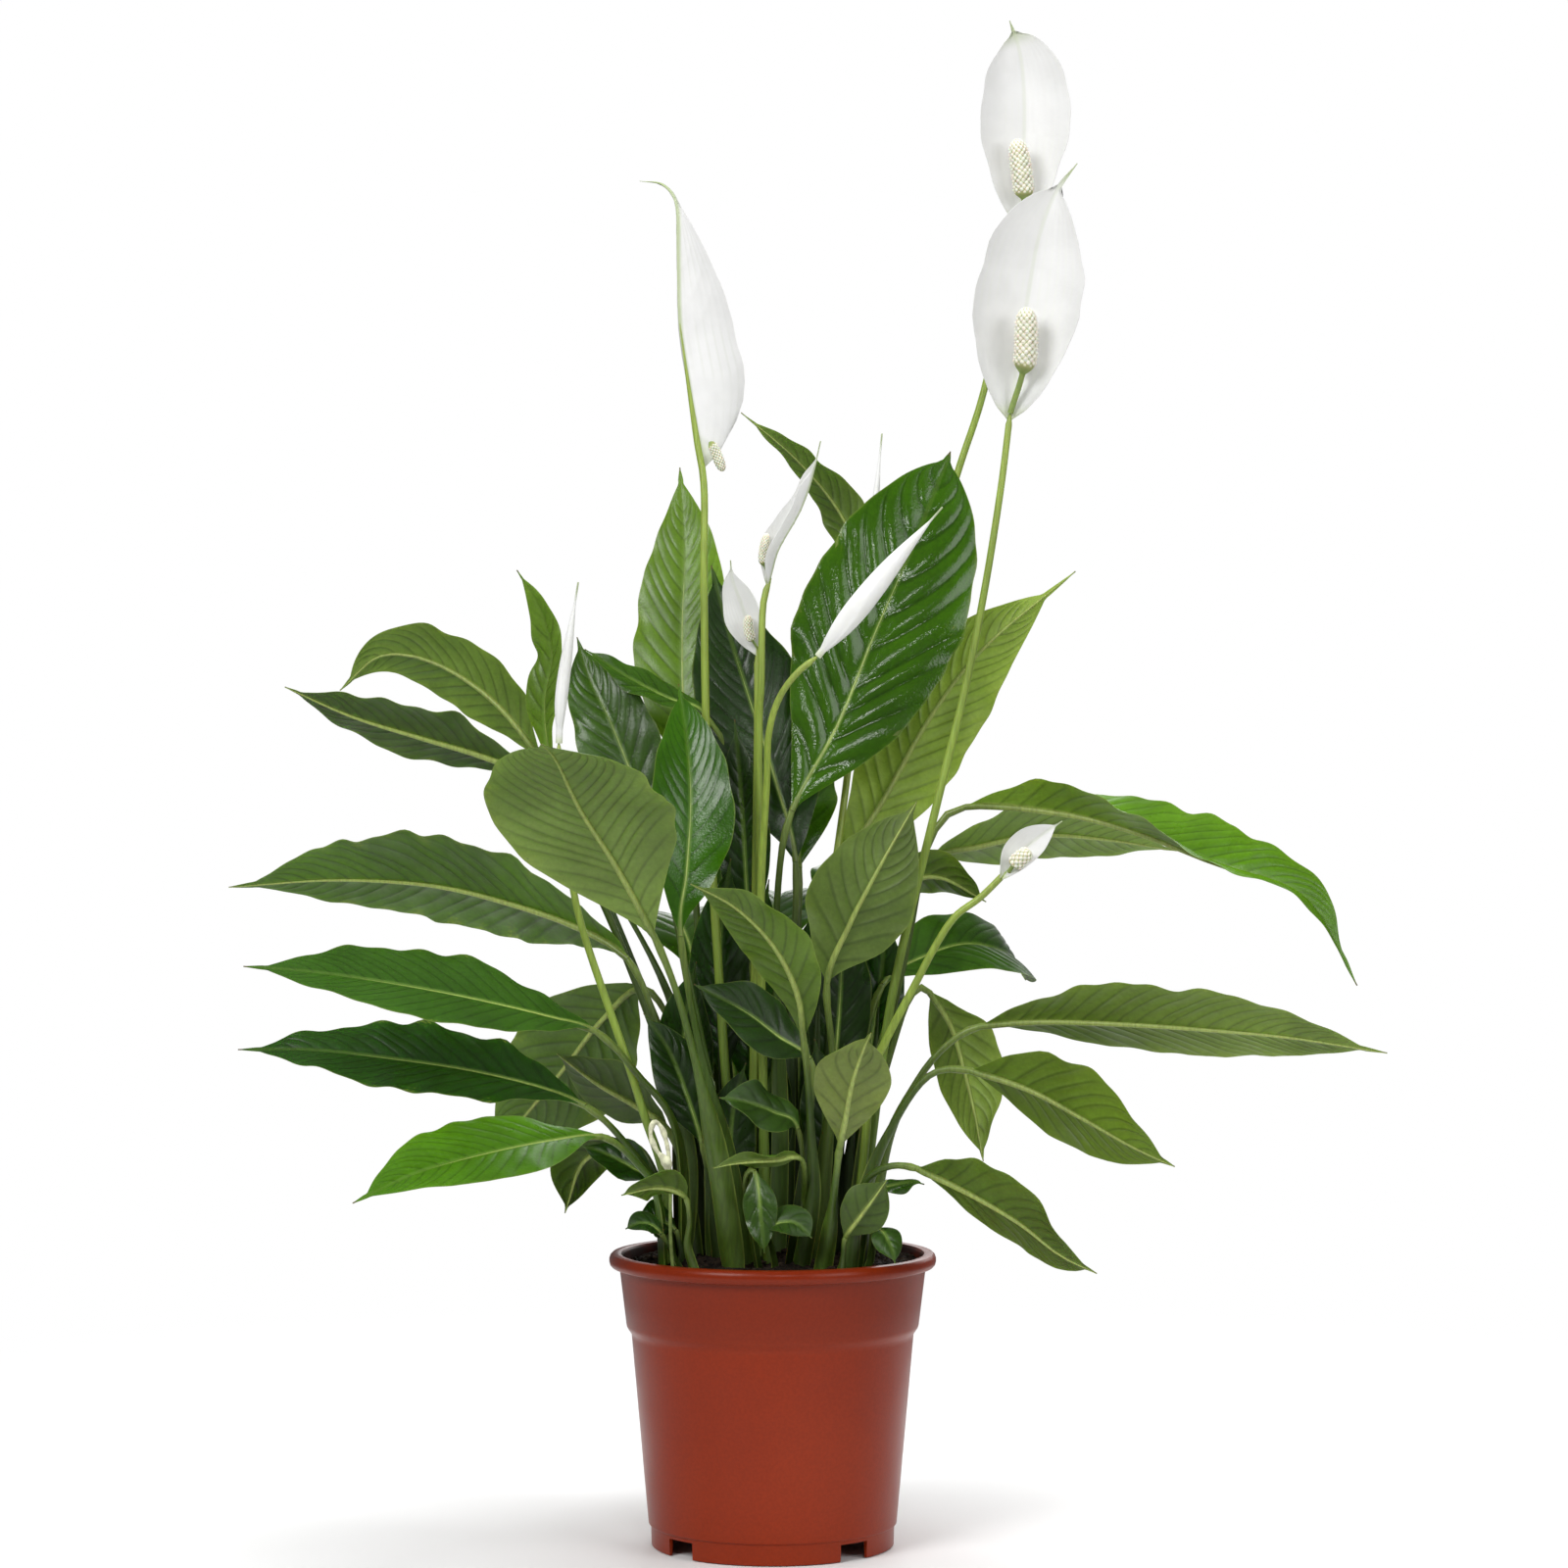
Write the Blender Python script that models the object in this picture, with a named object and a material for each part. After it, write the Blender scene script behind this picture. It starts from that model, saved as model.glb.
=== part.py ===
"""Potted peace lily: a moulded nursery pot, the potting mix in it, and a plant of separate leaves and flowers.

The origin is on the pot's axis where its foot stands. +Z is up and the plant's front faces -Y.
Sizes and places in the tables are in millimetres.
"""

import math
from collections import namedtuple

import bmesh
import bpy
from mathutils import Matrix, Vector

MM = 0.001
CLEARANCE = 0.3

# Pot: heights and outer radii of its outline, from the foot to the lip.
POT_SEGMENTS = 48
WALL = 1.6
FOOT_RADIUS = 63.3
FOOT_WALL = 2.4
FLOOR_UNDERSIDE = 9.0
FLOOR_TOP = 11.0
BODY_FOOT = (64.4, 11.5)
BODY_TOP = (73.4, 110.0)
COLLAR_FOOT = (76.0, 113.5)
COLLAR_TOP = (79.6, 143.0)
LIP_RADIUS = 85.0
LIP_UNDERSIDE = 144.2
RIM_HEIGHT = 151.5
LIP_ROUNDING = 2.6
LIP_CORNERS = 5
NOTCH_COUNT = 4
NOTCH_WIDTH = 18.0
NOTCH_TOP = 8.8
NOTCH_TURN = math.radians(-3.4)
HOLE_COUNT = 8
HOLE_SIDES = 12
HOLE_RADIUS = 5.0
HOLE_RING = 44.0
CUTTER_DEPTH = 12.0

SOIL_TOP = 145.0

# Plant: how finely the leaves, stems and flowers are lofted.
SAMPLES_PER_SPAN = 12
STALK_STEPS = 6
BLADE_STEPS = 10
FOOT_STALK_RADIUS = 3.0
TOP_STALK_RADIUS = 1.7
BLADE_THICKNESS = 1.0
BLADE_BLEND = 0.14
WIDEST_AT = 0.40
LEAF_FOLD = math.radians(14)
TIP_HALF_WIDTH = 0.5
STEM_SIDES = 6
ROUND_SIDES = 10
ROUND_STEPS = 10

# Flowers: their stems widen a little towards the soil.
FLOWER_STEM_RADIUS = 1.8
BUD_STEM_RADIUS = 1.7
STEM_TAPER = 1.4
STEM_SHARP_ANGLE = 80
SPATHE_FOOT_RADIUS = 1.0
SPATHE_WIDEST_AT = 0.33
SPADIX_NECK = 0.34
SPADIX_NECK_RADIUS = 0.8
SPADIX_END_SHARE = 0.25
BUD_WIDEST_AT = 0.35
BUD_FOOT_RADIUS = 1.4
BUD_TIP_RADIUS = 0.3
WITHERED_RADIUS = 1.3
WITHERED_SWELLING = 1.6
WITHERED_STEPS = 16

COLOURS = {
    "terracotta": ((0.24, 0.035, 0.014), 0.35),
    "soil": ((0.022, 0.014, 0.009), 0.95),
    "leaf_dark": ((0.030, 0.105, 0.014), 0.30),
    "leaf_bright": ((0.065, 0.210, 0.012), 0.30),
    "leaf_olive": ((0.105, 0.160, 0.045), 0.50),
    "stem": ((0.235, 0.360, 0.075), 0.45),
    "spathe": ((0.800, 0.810, 0.770), 0.50),
    "spadix": ((0.720, 0.700, 0.440), 0.60),
    "withered": ((0.520, 0.500, 0.270), 0.70),
}

# Each leaf: where its stalk leaves the soil, the points its stalk and blade follow (the blade's first
# point is the joint, its last the tip), half its widest width, the way its upper side faces at the
# joint and at the tip, and its colour.
Leaf = namedtuple("Leaf", "name foot stalk blade half_width up_joint up_tip colour")

LEAVES = (
    Leaf("leaf_centre_glossy", (2, 0),
         ((4, 4, 217), (2, 6, 293), (3, 7, 344)),
         ((10, 8, 381), (34, 18, 426), (54, 30, 475), (75, 42, 523), (95, 58, 573)),
         43, (5, -97, 20), (20, -93, 36), "leaf_dark"),
    Leaf("leaf_right_pale", (24, 30),
         ((28, 26, 213), (32, 32, 291)),
         ((36, 40, 345), (61, 48, 390), (85, 54, 432), (114, 58, 469), (162, 60, 509)),
         27, (20, 95, 20), (30, 90, 40), "leaf_olive"),
    Leaf("leaf_right_arching", (40, 14),
         ((53, 12, 231), (70, 14, 308), (82, 16, 364)),
         ((101, 14, 383), (149, 0, 381), (188, -16, 371), (227, -32, 355), (271, -46, 338), (296, -58, 293)),
         28, (-10, 75, 65), (45, -80, 40), "leaf_bright"),
    Leaf("leaf_right_behind", (42, 40),
         ((53, 50, 229), (70, 66, 311)),
         ((85, 76, 353), (112, 84, 362), (145, 94, 368), (184, 116, 365), (224, 140, 358)),
         26, (0, 70, 70), (10, 70, 70), "leaf_olive"),
    Leaf("leaf_right_middle", (48, -20),
         ((59, -26, 209), (74, -30, 242), (89, -33, 261)),
         ((106, -37, 271), (135, -50, 275), (179, -70, 275), (221, -90, 273), (258, -106, 270), (302, -120, 263)),
         30, (5, 60, 80), (0, 70, 70), "leaf_olive"),
    Leaf("leaf_right_lower", (42, -32),
         ((49, -35, 189), (64, -38, 225), (81, -42, 247)),
         ((101, -46, 249), (130, -56, 241), (157, -68, 227), (180, -78, 214), (201, -86, 204)),
         31, (20, 70, 70), (25, 70, 65), "leaf_olive"),
    Leaf("leaf_right_bottom", (38, -46),
         ((42, -47, 171), (47, -50, 192), (58, -56, 201)),
         ((73, -64, 201), (97, -82, 192), (122, -104, 179), (141, -122, 165), (158, -138, 157)),
         27, (30, 70, 65), (35, 65, 65), "leaf_olive"),
    Leaf("leaf_right_dark", (36, 20),
         ((43, 22, 199), (47, 26, 250)),
         ((58, 32, 289), (81, 42, 304), (105, 56, 310), (128, 76, 303), (138, 104, 288)),
         23, (-5, -70, 70), (30, -60, 75), "leaf_dark"),
    Leaf("leaf_right_hanging", (48, 2),
         ((51, 1, 211), (65, 2, 267), (74, 6, 287)),
         ((82, 12, 286), (94, 20, 269), (101, 20, 246), (107, 16, 220), (110, 8, 198)),
         23, (50, 75, 40), (70, 70, -10), "leaf_olive"),
    Leaf("leaf_centre_grey", (22, -14),
         ((26, -16, 192), (31, -21, 249)),
         ((28, -27, 293), (39, -32, 322), (49, -35, 342), (61, -35, 364), (74, -30, 386)),
         27, (10, 95, 20), (10, 90, 40), "leaf_olive"),
    Leaf("leaf_centre_small", (12, -33),
         ((20, -37, 184), (19, -44, 230)),
         ((16, -52, 265), (13, -62, 289), (1, -80, 314), (-18, -102, 334), (-40, -120, 346)),
         17, (30, 92, 20), (20, 92, 30), "leaf_olive"),
    Leaf("leaf_centre_pale", (24, -44),
         ((29, -47, 168), (32, -54, 194)),
         ((34, -60, 211), (37, -68, 227), (40, -78, 245), (45, -90, 262), (49, -104, 272)),
         20, (5, 96, 20), (5, 60, 80), "leaf_olive"),
    Leaf("leaf_centre_shaded", (8, -22),
         ((15, -26, 192), (20, -28, 233)),
         ((19, -30, 254), (3, -35, 266), (-14, -39, 279), (-40, -44, 293)),
         18, (10, -75, 60), (10, -75, 60), "leaf_dark"),
    Leaf("leaf_low_left", (-36, -52),
         ((-43, -54, 159), (-42, -57, 174)),
         ((-44, -60, 186), (-51, -64, 191), (-62, -68, 192), (-76, -70, 188)),
         13, (10, 65, 75), (-10, 60, 75), "leaf_olive"),
    Leaf("leaf_low_right", (34, -54),
         ((36, -54, 156),),
         ((37, -54, 165), (43, -56, 174), (51, -58, 185), (58, -60, 195)),
         13, (20, 80, 50), (20, 80, 50), "leaf_olive"),
    Leaf("leaf_front_large", (-19, -36),
         ((-27, -44, 195), (-36, -54, 241), (-47, -66, 286)),
         ((-59, -76, 318), (-77, -94, 354), (-94, -120, 383), (-104, -154, 407), (-109, -190, 414)),
         46, (20, 90, 30), (10, 50, 85), "leaf_olive"),
    Leaf("leaf_front_bright", (-12, -22),
         ((-23, -27, 204), (-36, -32, 254)),
         ((-47, -36, 317), (-44, -34, 350), (-42, -28, 385), (-44, -18, 415), (-49, 0, 447)),
         24, (10, -98, 10), (10, -95, 25), "leaf_bright"),
    Leaf("leaf_left_tall", (-38, 26),
         ((-46, 32, 214), (-75, 42, 301), (-107, 54, 374)),
         ((-124, 62, 408), (-150, 72, 440), (-183, 84, 461), (-213, 91, 465), (-236, 97, 446)),
         22, (12, 70, 70), (-24, 84, 40), "leaf_olive"),
    Leaf("leaf_left_upper", (-44, 12),
         ((-47, 18, 215), (-77, 32, 302), (-108, 33, 369)),
         ((-126, 31, 398), (-152, 28, 410), (-185, 26, 420), (-221, 22, 431), (-256, 16, 446)),
         22, (10, 60, 80), (5, 65, 75), "leaf_olive"),
    Leaf("leaf_left_large", (-48, 4),
         ((-44, 6, 201), (-60, 10, 267)),
         ((-76, 16, 303), (-101, 32, 319), (-141, 56, 332), (-185, 80, 341), (-241, 108, 343), (-301, 130, 338)),
         36, (-10, 75, 65), (-10, 75, 65), "leaf_olive"),
    Leaf("leaf_left_middle", (-46, -14),
         ((-49, -18, 213), (-70, -22, 246)),
         ((-91, -26, 268), (-115, -32, 276), (-154, -42, 286), (-193, -52, 294), (-232, -60, 300), (-267, -64, 303)),
         29, (0, -55, 83), (0, -60, 80), "leaf_dark"),
    Leaf("leaf_left_dark", (-54, -6),
         ((-59, -8, 182), (-79, -9, 212)),
         ((-97, -8, 228), (-119, -4, 237), (-157, 0, 246), (-199, 4, 252), (-240, 8, 256), (-280, 12, 256)),
         28, (0, -55, 83), (0, -60, 80), "leaf_dark"),
    Leaf("leaf_left_bottom", (-56, -22),
         ((-59, -26, 182), (-70, -31, 201)),
         ((-87, -40, 215), (-111, -60, 215), (-143, -90, 211), (-175, -120, 204), (-203, -146, 192)),
         27, (-5, -62, 78), (-10, -65, 75), "leaf_bright"),
    Leaf("leaf_left_olive", (-34, 36),
         ((-36, 40, 208), (-52, 50, 262)),
         ((-70, 60, 286), (-92, 76, 268), (-114, 94, 240), (-137, 112, 212), (-158, 126, 187)),
         34, (30, 80, 50), (40, 80, 40), "leaf_olive"),
    Leaf("leaf_left_drooping", (-58, 8),
         ((-57, 12, 174), (-66, 20, 199)),
         ((-78, 26, 206), (-92, 32, 202), (-103, 36, 192), (-110, 34, 168)),
         18, (0, 75, 65), (-70, 60, 20), "leaf_olive"),
    Leaf("leaf_back_striped", (-26, 20),
         ((-26, 24, 199), (-38, 36, 291)),
         ((-44, 48, 395), (-48, 60, 437), (-49, 74, 480), (-48, 88, 523), (-51, 104, 568)),
         26, (-10, -95, 20), (-10, -90, 40), "leaf_bright"),
    Leaf("leaf_back_dark", (6, 12),
         ((7, 14, 200), (10, 18, 292)),
         ((12, 22, 354), (2, 28, 395), (-11, 36, 436), (-23, 46, 474), (-33, 58, 512)),
         32, (15, -95, 10), (15, -92, 30), "leaf_dark"),
    Leaf("leaf_back_top", (32, 56),
         ((33, 66, 211), (48, 82, 342)),
         ((58, 98, 449), (52, 108, 502), (39, 118, 541), (14, 132, 574), (-18, 148, 602)),
         15, (50, 80, 30), (30, 70, 60), "leaf_olive"),
    Leaf("leaf_left_folded", (-22, 48),
         ((-49, 60, 265), (-92, 38, 353)),
         ((-116, 36, 405), (-121, 34, 437), (-117, 32, 464), (-123, 30, 488), (-135, 28, 508)),
         13, (-60, -75, 15), (-50, -80, 30), "leaf_bright"),
    Leaf("leaf_left_pointed", (-30, 0),
         ((-33, 2, 226), (-48, 6, 313)),
         ((-62, 12, 369), (-74, 18, 400), (-86, 24, 429), (-97, 32, 452), (-104, 42, 473)),
         22, (-10, -95, 20), (-10, -92, 30), "leaf_dark"),
    Leaf("leaf_rear_middle", (0, 40),
         ((0, 56, 210),),
         ((-2, 76, 296), (0, 108, 326), (5, 148, 334), (10, 190, 312)),
         30, (0, -35, 93), (0, 20, 97), "leaf_dark"),
    Leaf("leaf_rear_left", (-14, 54),
         ((-17, 70, 184),),
         ((-20, 86, 226), (-24, 114, 246), (-30, 150, 240), (-36, 186, 210)),
         26, (0, -30, 95), (-10, 30, 90), "leaf_dark"),
    Leaf("leaf_rear_right", (16, 60),
         ((24, 74, 184),),
         ((32, 88, 232), (38, 116, 258), (44, 150, 256), (50, 188, 230)),
         26, (0, -30, 95), (10, 30, 90), "leaf_dark"),
)

# Each flower: the points of its stem from the soil up, of its spathe and of its spadix, half the
# spathe's widest width, the way its hollow side faces, how far each half folds towards it in
# degrees, and the spadix's radius.
Flower = namedtuple("Flower", "name stem spathe spadix half_width face fold spadix_radius")

FLOWERS = (
    Flower("top_flower",
           ((14, 42, 0), (22, 48, 187), (38, 60, 317), (65, 72, 447), (98, 76, 558), (115, 76, 612), (133, 76, 699)),
           ((134, 78, 701), (135, 82, 729), (136, 84, 762), (134, 84, 789), (128, 82, 808)),
           ((135, 74, 705), (135, 70, 712), (131, 68, 742)),
           27, (0, -100, 10), 18, 5.6),
    Flower("lower_flower",
           ((42, -6, 0), (49, -8, 192), (59, -10, 268), (68, -11, 314), (79, -12, 360), (90, -12, 405),
            (100, -12, 446), (110, -12, 497), (118, -12, 547), (123, -12, 586)),
           ((123, -10, 588), (127, -6, 614), (132, -4, 645), (138, -4, 678), (147, -6, 702), (158, -8, 717)),
           ((124, -14, 592), (130, -18, 612), (131, -20, 641)),
           31, (0, -100, 10), 18, 6.0),
    Flower("left_flower",
           ((-18, 8, 0), (-21, 9, 190), (-28, 10, 292), (-34, 10, 395), (-36, 12, 498), (-36, 16, 550),
            (-39, 20, 574)),
           ((-40, 20, 577), (-45, 20, 609), (-49, 20, 637), (-50, 20, 673), (-51, 20, 699), (-58, 20, 710),
            (-70, 20, 712)),
           ((-38, 22, 579), (-31, 24, 573), (-23, 26, 558)),
           37, (100, 0, 0), 60, 4.5),
    Flower("middle_flower",
           ((-5, -3, 0), (-5, -1, 243), (-7, -2, 344), (-7, -5, 426), (-6, -8, 446), (-5, -8, 487),
            (-2, -8, 501)),
           ((-1, -8, 503), (3, -8, 517), (14, -8, 537), (21, -8, 556), (25, -8, 573)),
           ((-3, -9, 504), (-5, -10, 512), (-3, -11, 525)),
           16, (-90, -40, 0), 40, 2.6),
    Flower("little_flower",
           ((-12, 11, 0), (-10, 10, 242), (-9, 9, 344), (-8, 6, 426), (-7, 4, 465)),
           ((-8, 5, 467), (-12, 6, 477), (-17, 7, 491), (-21, 7, 502), (-22, 7, 512)),
           ((-8, 3, 467), (-12, 0, 473), (-13, -1, 483)),
           11, (-30, -95, 0), 18, 2.6),
    Flower("right_flower",
           ((36, -16, 0), (46, -16, 192), (51, -18, 243), (59, -20, 264), (72, -22, 289), (84, -24, 312),
            (94, -26, 327), (107, -28, 337), (120, -30, 350)),
           ((121, -29, 351), (127, -26, 359), (136, -25, 367), (149, -26, 376)),
           ((122, -32, 351), (125, -34, 355), (132, -36, 361)),
           10, (0, -95, 30), 18, 4.2),
)

# Each unopened flower: the points of its stem and of its rolled-up spathe, and the bud's radius.
Bud = namedtuple("Bud", "name stem bud radius")

BUDS = (
    Bud("front_bud",
        ((-2, -15, 0), (-5, -16, 244), (-6, -27, 332), (-3, -36, 395), (-2, -40, 420), (3, -44, 438),
         (12, -48, 451), (22, -50, 459)),
        ((23, -50, 460), (41, -54, 482), (63, -58, 509), (86, -62, 535)),
        6.5),
    Bud("left_bud",
        ((-52, -12, 0), (-56, -14, 190), (-66, -16, 223), (-75, -18, 252), (-96, -22, 314), (-103, -24, 343),
         (-109, -24, 380), (-110, -24, 415)),
        ((-110, -24, 417), (-109, -24, 438), (-105, -24, 468), (-100, -24, 499)),
        6.0),
    Bud("back_bud",
        ((16, 20, 0), (26, 27, 292), (39, 46, 395), (49, 62, 478), (51, 68, 494)),
        ((51, 69, 496), (54, 74, 522), (56, 80, 554), (59, 86, 585)),
        5.0),
)

WITHERED_STEM = ((-50, -40), (-52, -42, 165), (-53, -43, 195), (-56, -44, 211), (-58, -46, 223))


def clear_scene():
    for old in list(bpy.data.objects):
        bpy.data.objects.remove(old, do_unlink=True)


def material(colour):
    """The Principled material of this colour, made once."""
    if colour in bpy.data.materials:
        return bpy.data.materials[colour]
    rgb, roughness = COLOURS[colour]
    made = bpy.data.materials.new(colour)
    made.use_nodes = True
    shader = made.node_tree.nodes["Principled BSDF"]
    shader.inputs["Base Color"].default_value = (*rgb, 1.0)
    shader.inputs["Roughness"].default_value = roughness
    shader.inputs["Metallic"].default_value = 0.0
    made.diffuse_color = (*rgb, 1.0)
    return made


def add_object(name, shape, colour, sharp_angle=40):
    """A named object from a bmesh in millimetres, shaded smooth."""
    bmesh.ops.recalc_face_normals(shape, faces=shape.faces)
    if shape.calc_volume(signed=True) < 0:
        bmesh.ops.reverse_faces(shape, faces=shape.faces)
    bmesh.ops.scale(shape, vec=(MM, MM, MM), verts=shape.verts)
    mesh = bpy.data.meshes.new(name)
    shape.to_mesh(mesh)
    shape.free()
    mesh.shade_smooth()
    mesh.set_sharp_from_angle(angle=math.radians(sharp_angle))
    mesh.materials.append(material(colour))
    made = bpy.data.objects.new(name, mesh)
    bpy.context.scene.collection.objects.link(made)
    return made


def smooth_step(x):
    x = min(max(x, 0.0), 1.0)
    return x * x * (3.0 - 2.0 * x)


class Path:
    """A smooth curve through a few points, read by its length."""

    def __init__(self, points):
        points = [Vector(p) for p in points]
        ends = [2 * points[0] - points[1], *points, 2 * points[-1] - points[-2]]
        self.points = []
        self.knots = []
        for i in range(1, len(ends) - 2):
            self.knots.append(len(self.points))
            for k in range(SAMPLES_PER_SPAN):
                self.points.append(self.between(ends[i - 1 : i + 3], k / SAMPLES_PER_SPAN))
        self.knots.append(len(self.points))
        self.points.append(points[-1])
        self.lengths = [0.0]
        for a, b in zip(self.points, self.points[1:]):
            self.lengths.append(self.lengths[-1] + (b - a).length)

    @staticmethod
    def between(four, t):
        """The Catmull-Rom point at t, from the second of four points to the third."""
        a, b, c, d = four
        return 0.5 * (2 * b + (c - a) * t + (2 * a - 5 * b + 4 * c - d) * t**2 + (3 * b - a - 3 * c + d) * t**3)

    def length_at(self, point_index):
        return self.lengths[self.knots[point_index]]

    @property
    def length(self):
        return self.lengths[-1]

    def at(self, s):
        s = min(max(s, 0.0), self.length)
        i = 0
        while i < len(self.points) - 2 and self.lengths[i + 1] < s:
            i += 1
        share = (s - self.lengths[i]) / (self.lengths[i + 1] - self.lengths[i])
        return self.points[i].lerp(self.points[i + 1], share)

    def direction(self, s):
        step = 0.01 * self.length
        return (self.at(s + step) - self.at(s - step)).normalized()


def square_to(vector, along):
    """The unit part of a vector that is square to a direction."""
    return (vector - vector.dot(along) * along).normalized()


def loft(rings):
    """A closed skin over rings of equal point count, with a flat face over each end."""
    shape = bmesh.new()
    rows = [[shape.verts.new(point) for point in ring] for ring in rings]
    count = len(rows[0])
    for lower, upper in zip(rows, rows[1:]):
        for k in range(count):
            shape.faces.new((lower[k], lower[(k + 1) % count], upper[(k + 1) % count], upper[k]))
    shape.faces.new(rows[0][::-1])
    shape.faces.new(rows[-1])
    return shape


def round_ring(centre, along, side, radius, sides):
    """Points on a circle about a path, the first of them to the given side."""
    across = square_to(side, along)
    other = along.cross(across)
    turns = [2 * math.pi * k / sides for k in range(sides)]
    return [centre + radius * (math.cos(a) * across + math.sin(a) * other) for a in turns]


def blade_ring(centre, across, up, half_width, thickness, fold, stalk_radius, flatness):
    """Eight points round a folded blade, from a round stalk (flatness 0) to a thin leaf (flatness 1)."""
    edge_x = half_width * math.cos(fold)
    edge_y = half_width * math.sin(fold)
    skin = thickness / 2
    flat = (
        (edge_x, edge_y),
        (edge_x / 2, edge_y / 2 + skin),
        (0.0, skin),
        (-edge_x / 2, edge_y / 2 + skin),
        (-edge_x, edge_y),
        (-edge_x / 2, edge_y / 2 - skin),
        (0.0, -1.6 * skin),
        (edge_x / 2, edge_y / 2 - skin),
    )
    ring = []
    for k, (x, y) in enumerate(flat):
        turn = 2 * math.pi * k / len(flat)
        round_x = stalk_radius * math.cos(turn)
        round_y = stalk_radius * math.sin(turn)
        ring.append(
            centre
            + across * (round_x + (x - round_x) * flatness)
            + up * (round_y + (y - round_y) * flatness)
        )
    return ring


def blade_outline(t, widest_at):
    """A blade's width from its base (t = 0) to its drawn-out tip (t = 1), as a share of its widest."""
    if t < widest_at:
        return math.sin(math.pi / 2 * t / widest_at) ** 0.85
    beyond = (t - widest_at) / (1 - widest_at)
    return (1 - beyond**2.2) ** 1.4


def blade_rings(path, start, up_start, up_end, half_width, fold, stalk_radius, widest_at):
    """The rings of a blade along a path, from a given length of it to its end."""
    rings = []
    for k in range(BLADE_STEPS + 1):
        t = k / BLADE_STEPS
        s = start + (path.length - start) * t
        along = path.direction(s)
        up = square_to(up_start.lerp(up_end, t), along)
        across = along.cross(up)
        flatness = smooth_step(t / BLADE_BLEND)
        width = max(half_width * blade_outline(t, widest_at), TIP_HALF_WIDTH)
        rings.append(
            blade_ring(path.at(s), across, up, width, BLADE_THICKNESS, fold, stalk_radius, flatness)
        )
    return rings


def make_leaf(leaf):
    """One leaf: a round stalk from the soil that flattens into a folded blade with a drawn-out tip."""
    foot = (leaf.foot[0], leaf.foot[1], SOIL_TOP + CLEARANCE)
    path = Path((foot, *leaf.stalk, *leaf.blade))
    joint = path.length_at(1 + len(leaf.stalk))
    up_joint = Vector(leaf.up_joint).normalized()
    up_tip = Vector(leaf.up_tip).normalized()

    up = square_to(up_joint, path.direction(joint))
    stalk = []
    for k in range(STALK_STEPS, 0, -1):
        share = (k - 1) / STALK_STEPS
        along = path.direction(joint * share) if k > 1 else Vector((0, 0, 1))
        up = square_to(up, along)
        radius = FOOT_STALK_RADIUS + (TOP_STALK_RADIUS - FOOT_STALK_RADIUS) * share
        stalk.append(blade_ring(path.at(joint * share), along.cross(up), up, 0, 0, 0, radius, 0.0))
    blade = blade_rings(path, joint, up_joint, up_tip, leaf.half_width, LEAF_FOLD, TOP_STALK_RADIUS,
                        WIDEST_AT)
    add_object(leaf.name, loft(stalk[::-1] + blade), leaf.colour)


def tube_rings(path, radius_at, sides, steps, flat_start=False):
    """Round rings along a path; radius_at gives the radius for a share of its length."""
    rings = []
    side = Vector((1.0, 0.2, 0.1))
    for k in range(steps + 1):
        share = k / steps
        along = path.direction(path.length * share)
        if k == 0 and flat_start:
            along = Vector((0, 0, 1))
        rings.append(round_ring(path.at(path.length * share), along, side, radius_at(share), sides))
    return rings


def make_stem(name, points, top_radius):
    """A flower's stem, standing just clear of the soil."""
    foot = (points[0][0], points[0][1], SOIL_TOP + CLEARANCE)
    path = Path((foot, *points[1:]))
    foot_radius = STEM_TAPER * top_radius
    steps = 2 * len(points)
    rings = tube_rings(path, lambda share: foot_radius + (top_radius - foot_radius) * share, STEM_SIDES,
                       steps, flat_start=True)
    add_object(name, loft(rings), "stem", STEM_SHARP_ANGLE)


def make_spathe(name, flower):
    """The white leaf behind a flower's spadix, hollow towards its face."""
    face = Vector(flower.face).normalized()
    path = Path(flower.spathe)
    rings = blade_rings(path, 0.0, face, face, flower.half_width, math.radians(flower.fold),
                        SPATHE_FOOT_RADIUS, SPATHE_WIDEST_AT)
    add_object(name, loft(rings), "spathe")


def spadix_radius(share, radius):
    """A thin neck below, then a blunt cylinder with a round end."""
    if share < SPADIX_NECK:
        swelling = smooth_step((2.5 * share - SPADIX_NECK) / (1.5 * SPADIX_NECK))
        return SPADIX_NECK_RADIUS + (radius - SPADIX_NECK_RADIUS) * swelling
    beyond = (share - SPADIX_NECK) / (1 - SPADIX_NECK)
    return max(radius * math.sqrt(1 - beyond**6), SPADIX_END_SHARE * radius)


def make_spadix(name, flower):
    path = Path(flower.spadix)
    rings = tube_rings(path, lambda share: spadix_radius(share, flower.spadix_radius), ROUND_SIDES,
                       ROUND_STEPS)
    add_object(name, loft(rings), "spadix")


def bud_radius(share, radius):
    """A rolled-up spathe: a slim base, a swelling at a third of its length and a fine point."""
    least = BUD_TIP_RADIUS if share > 0.5 else BUD_FOOT_RADIUS
    return max(radius * blade_outline(share, BUD_WIDEST_AT), least)


def make_bud(bud):
    make_stem(bud.name + "_stem", bud.stem, BUD_STEM_RADIUS)
    path = Path(bud.bud)
    rings = tube_rings(path, lambda share: bud_radius(share, bud.radius), ROUND_SIDES, ROUND_STEPS)
    add_object(bud.name, loft(rings), "spathe")


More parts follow.
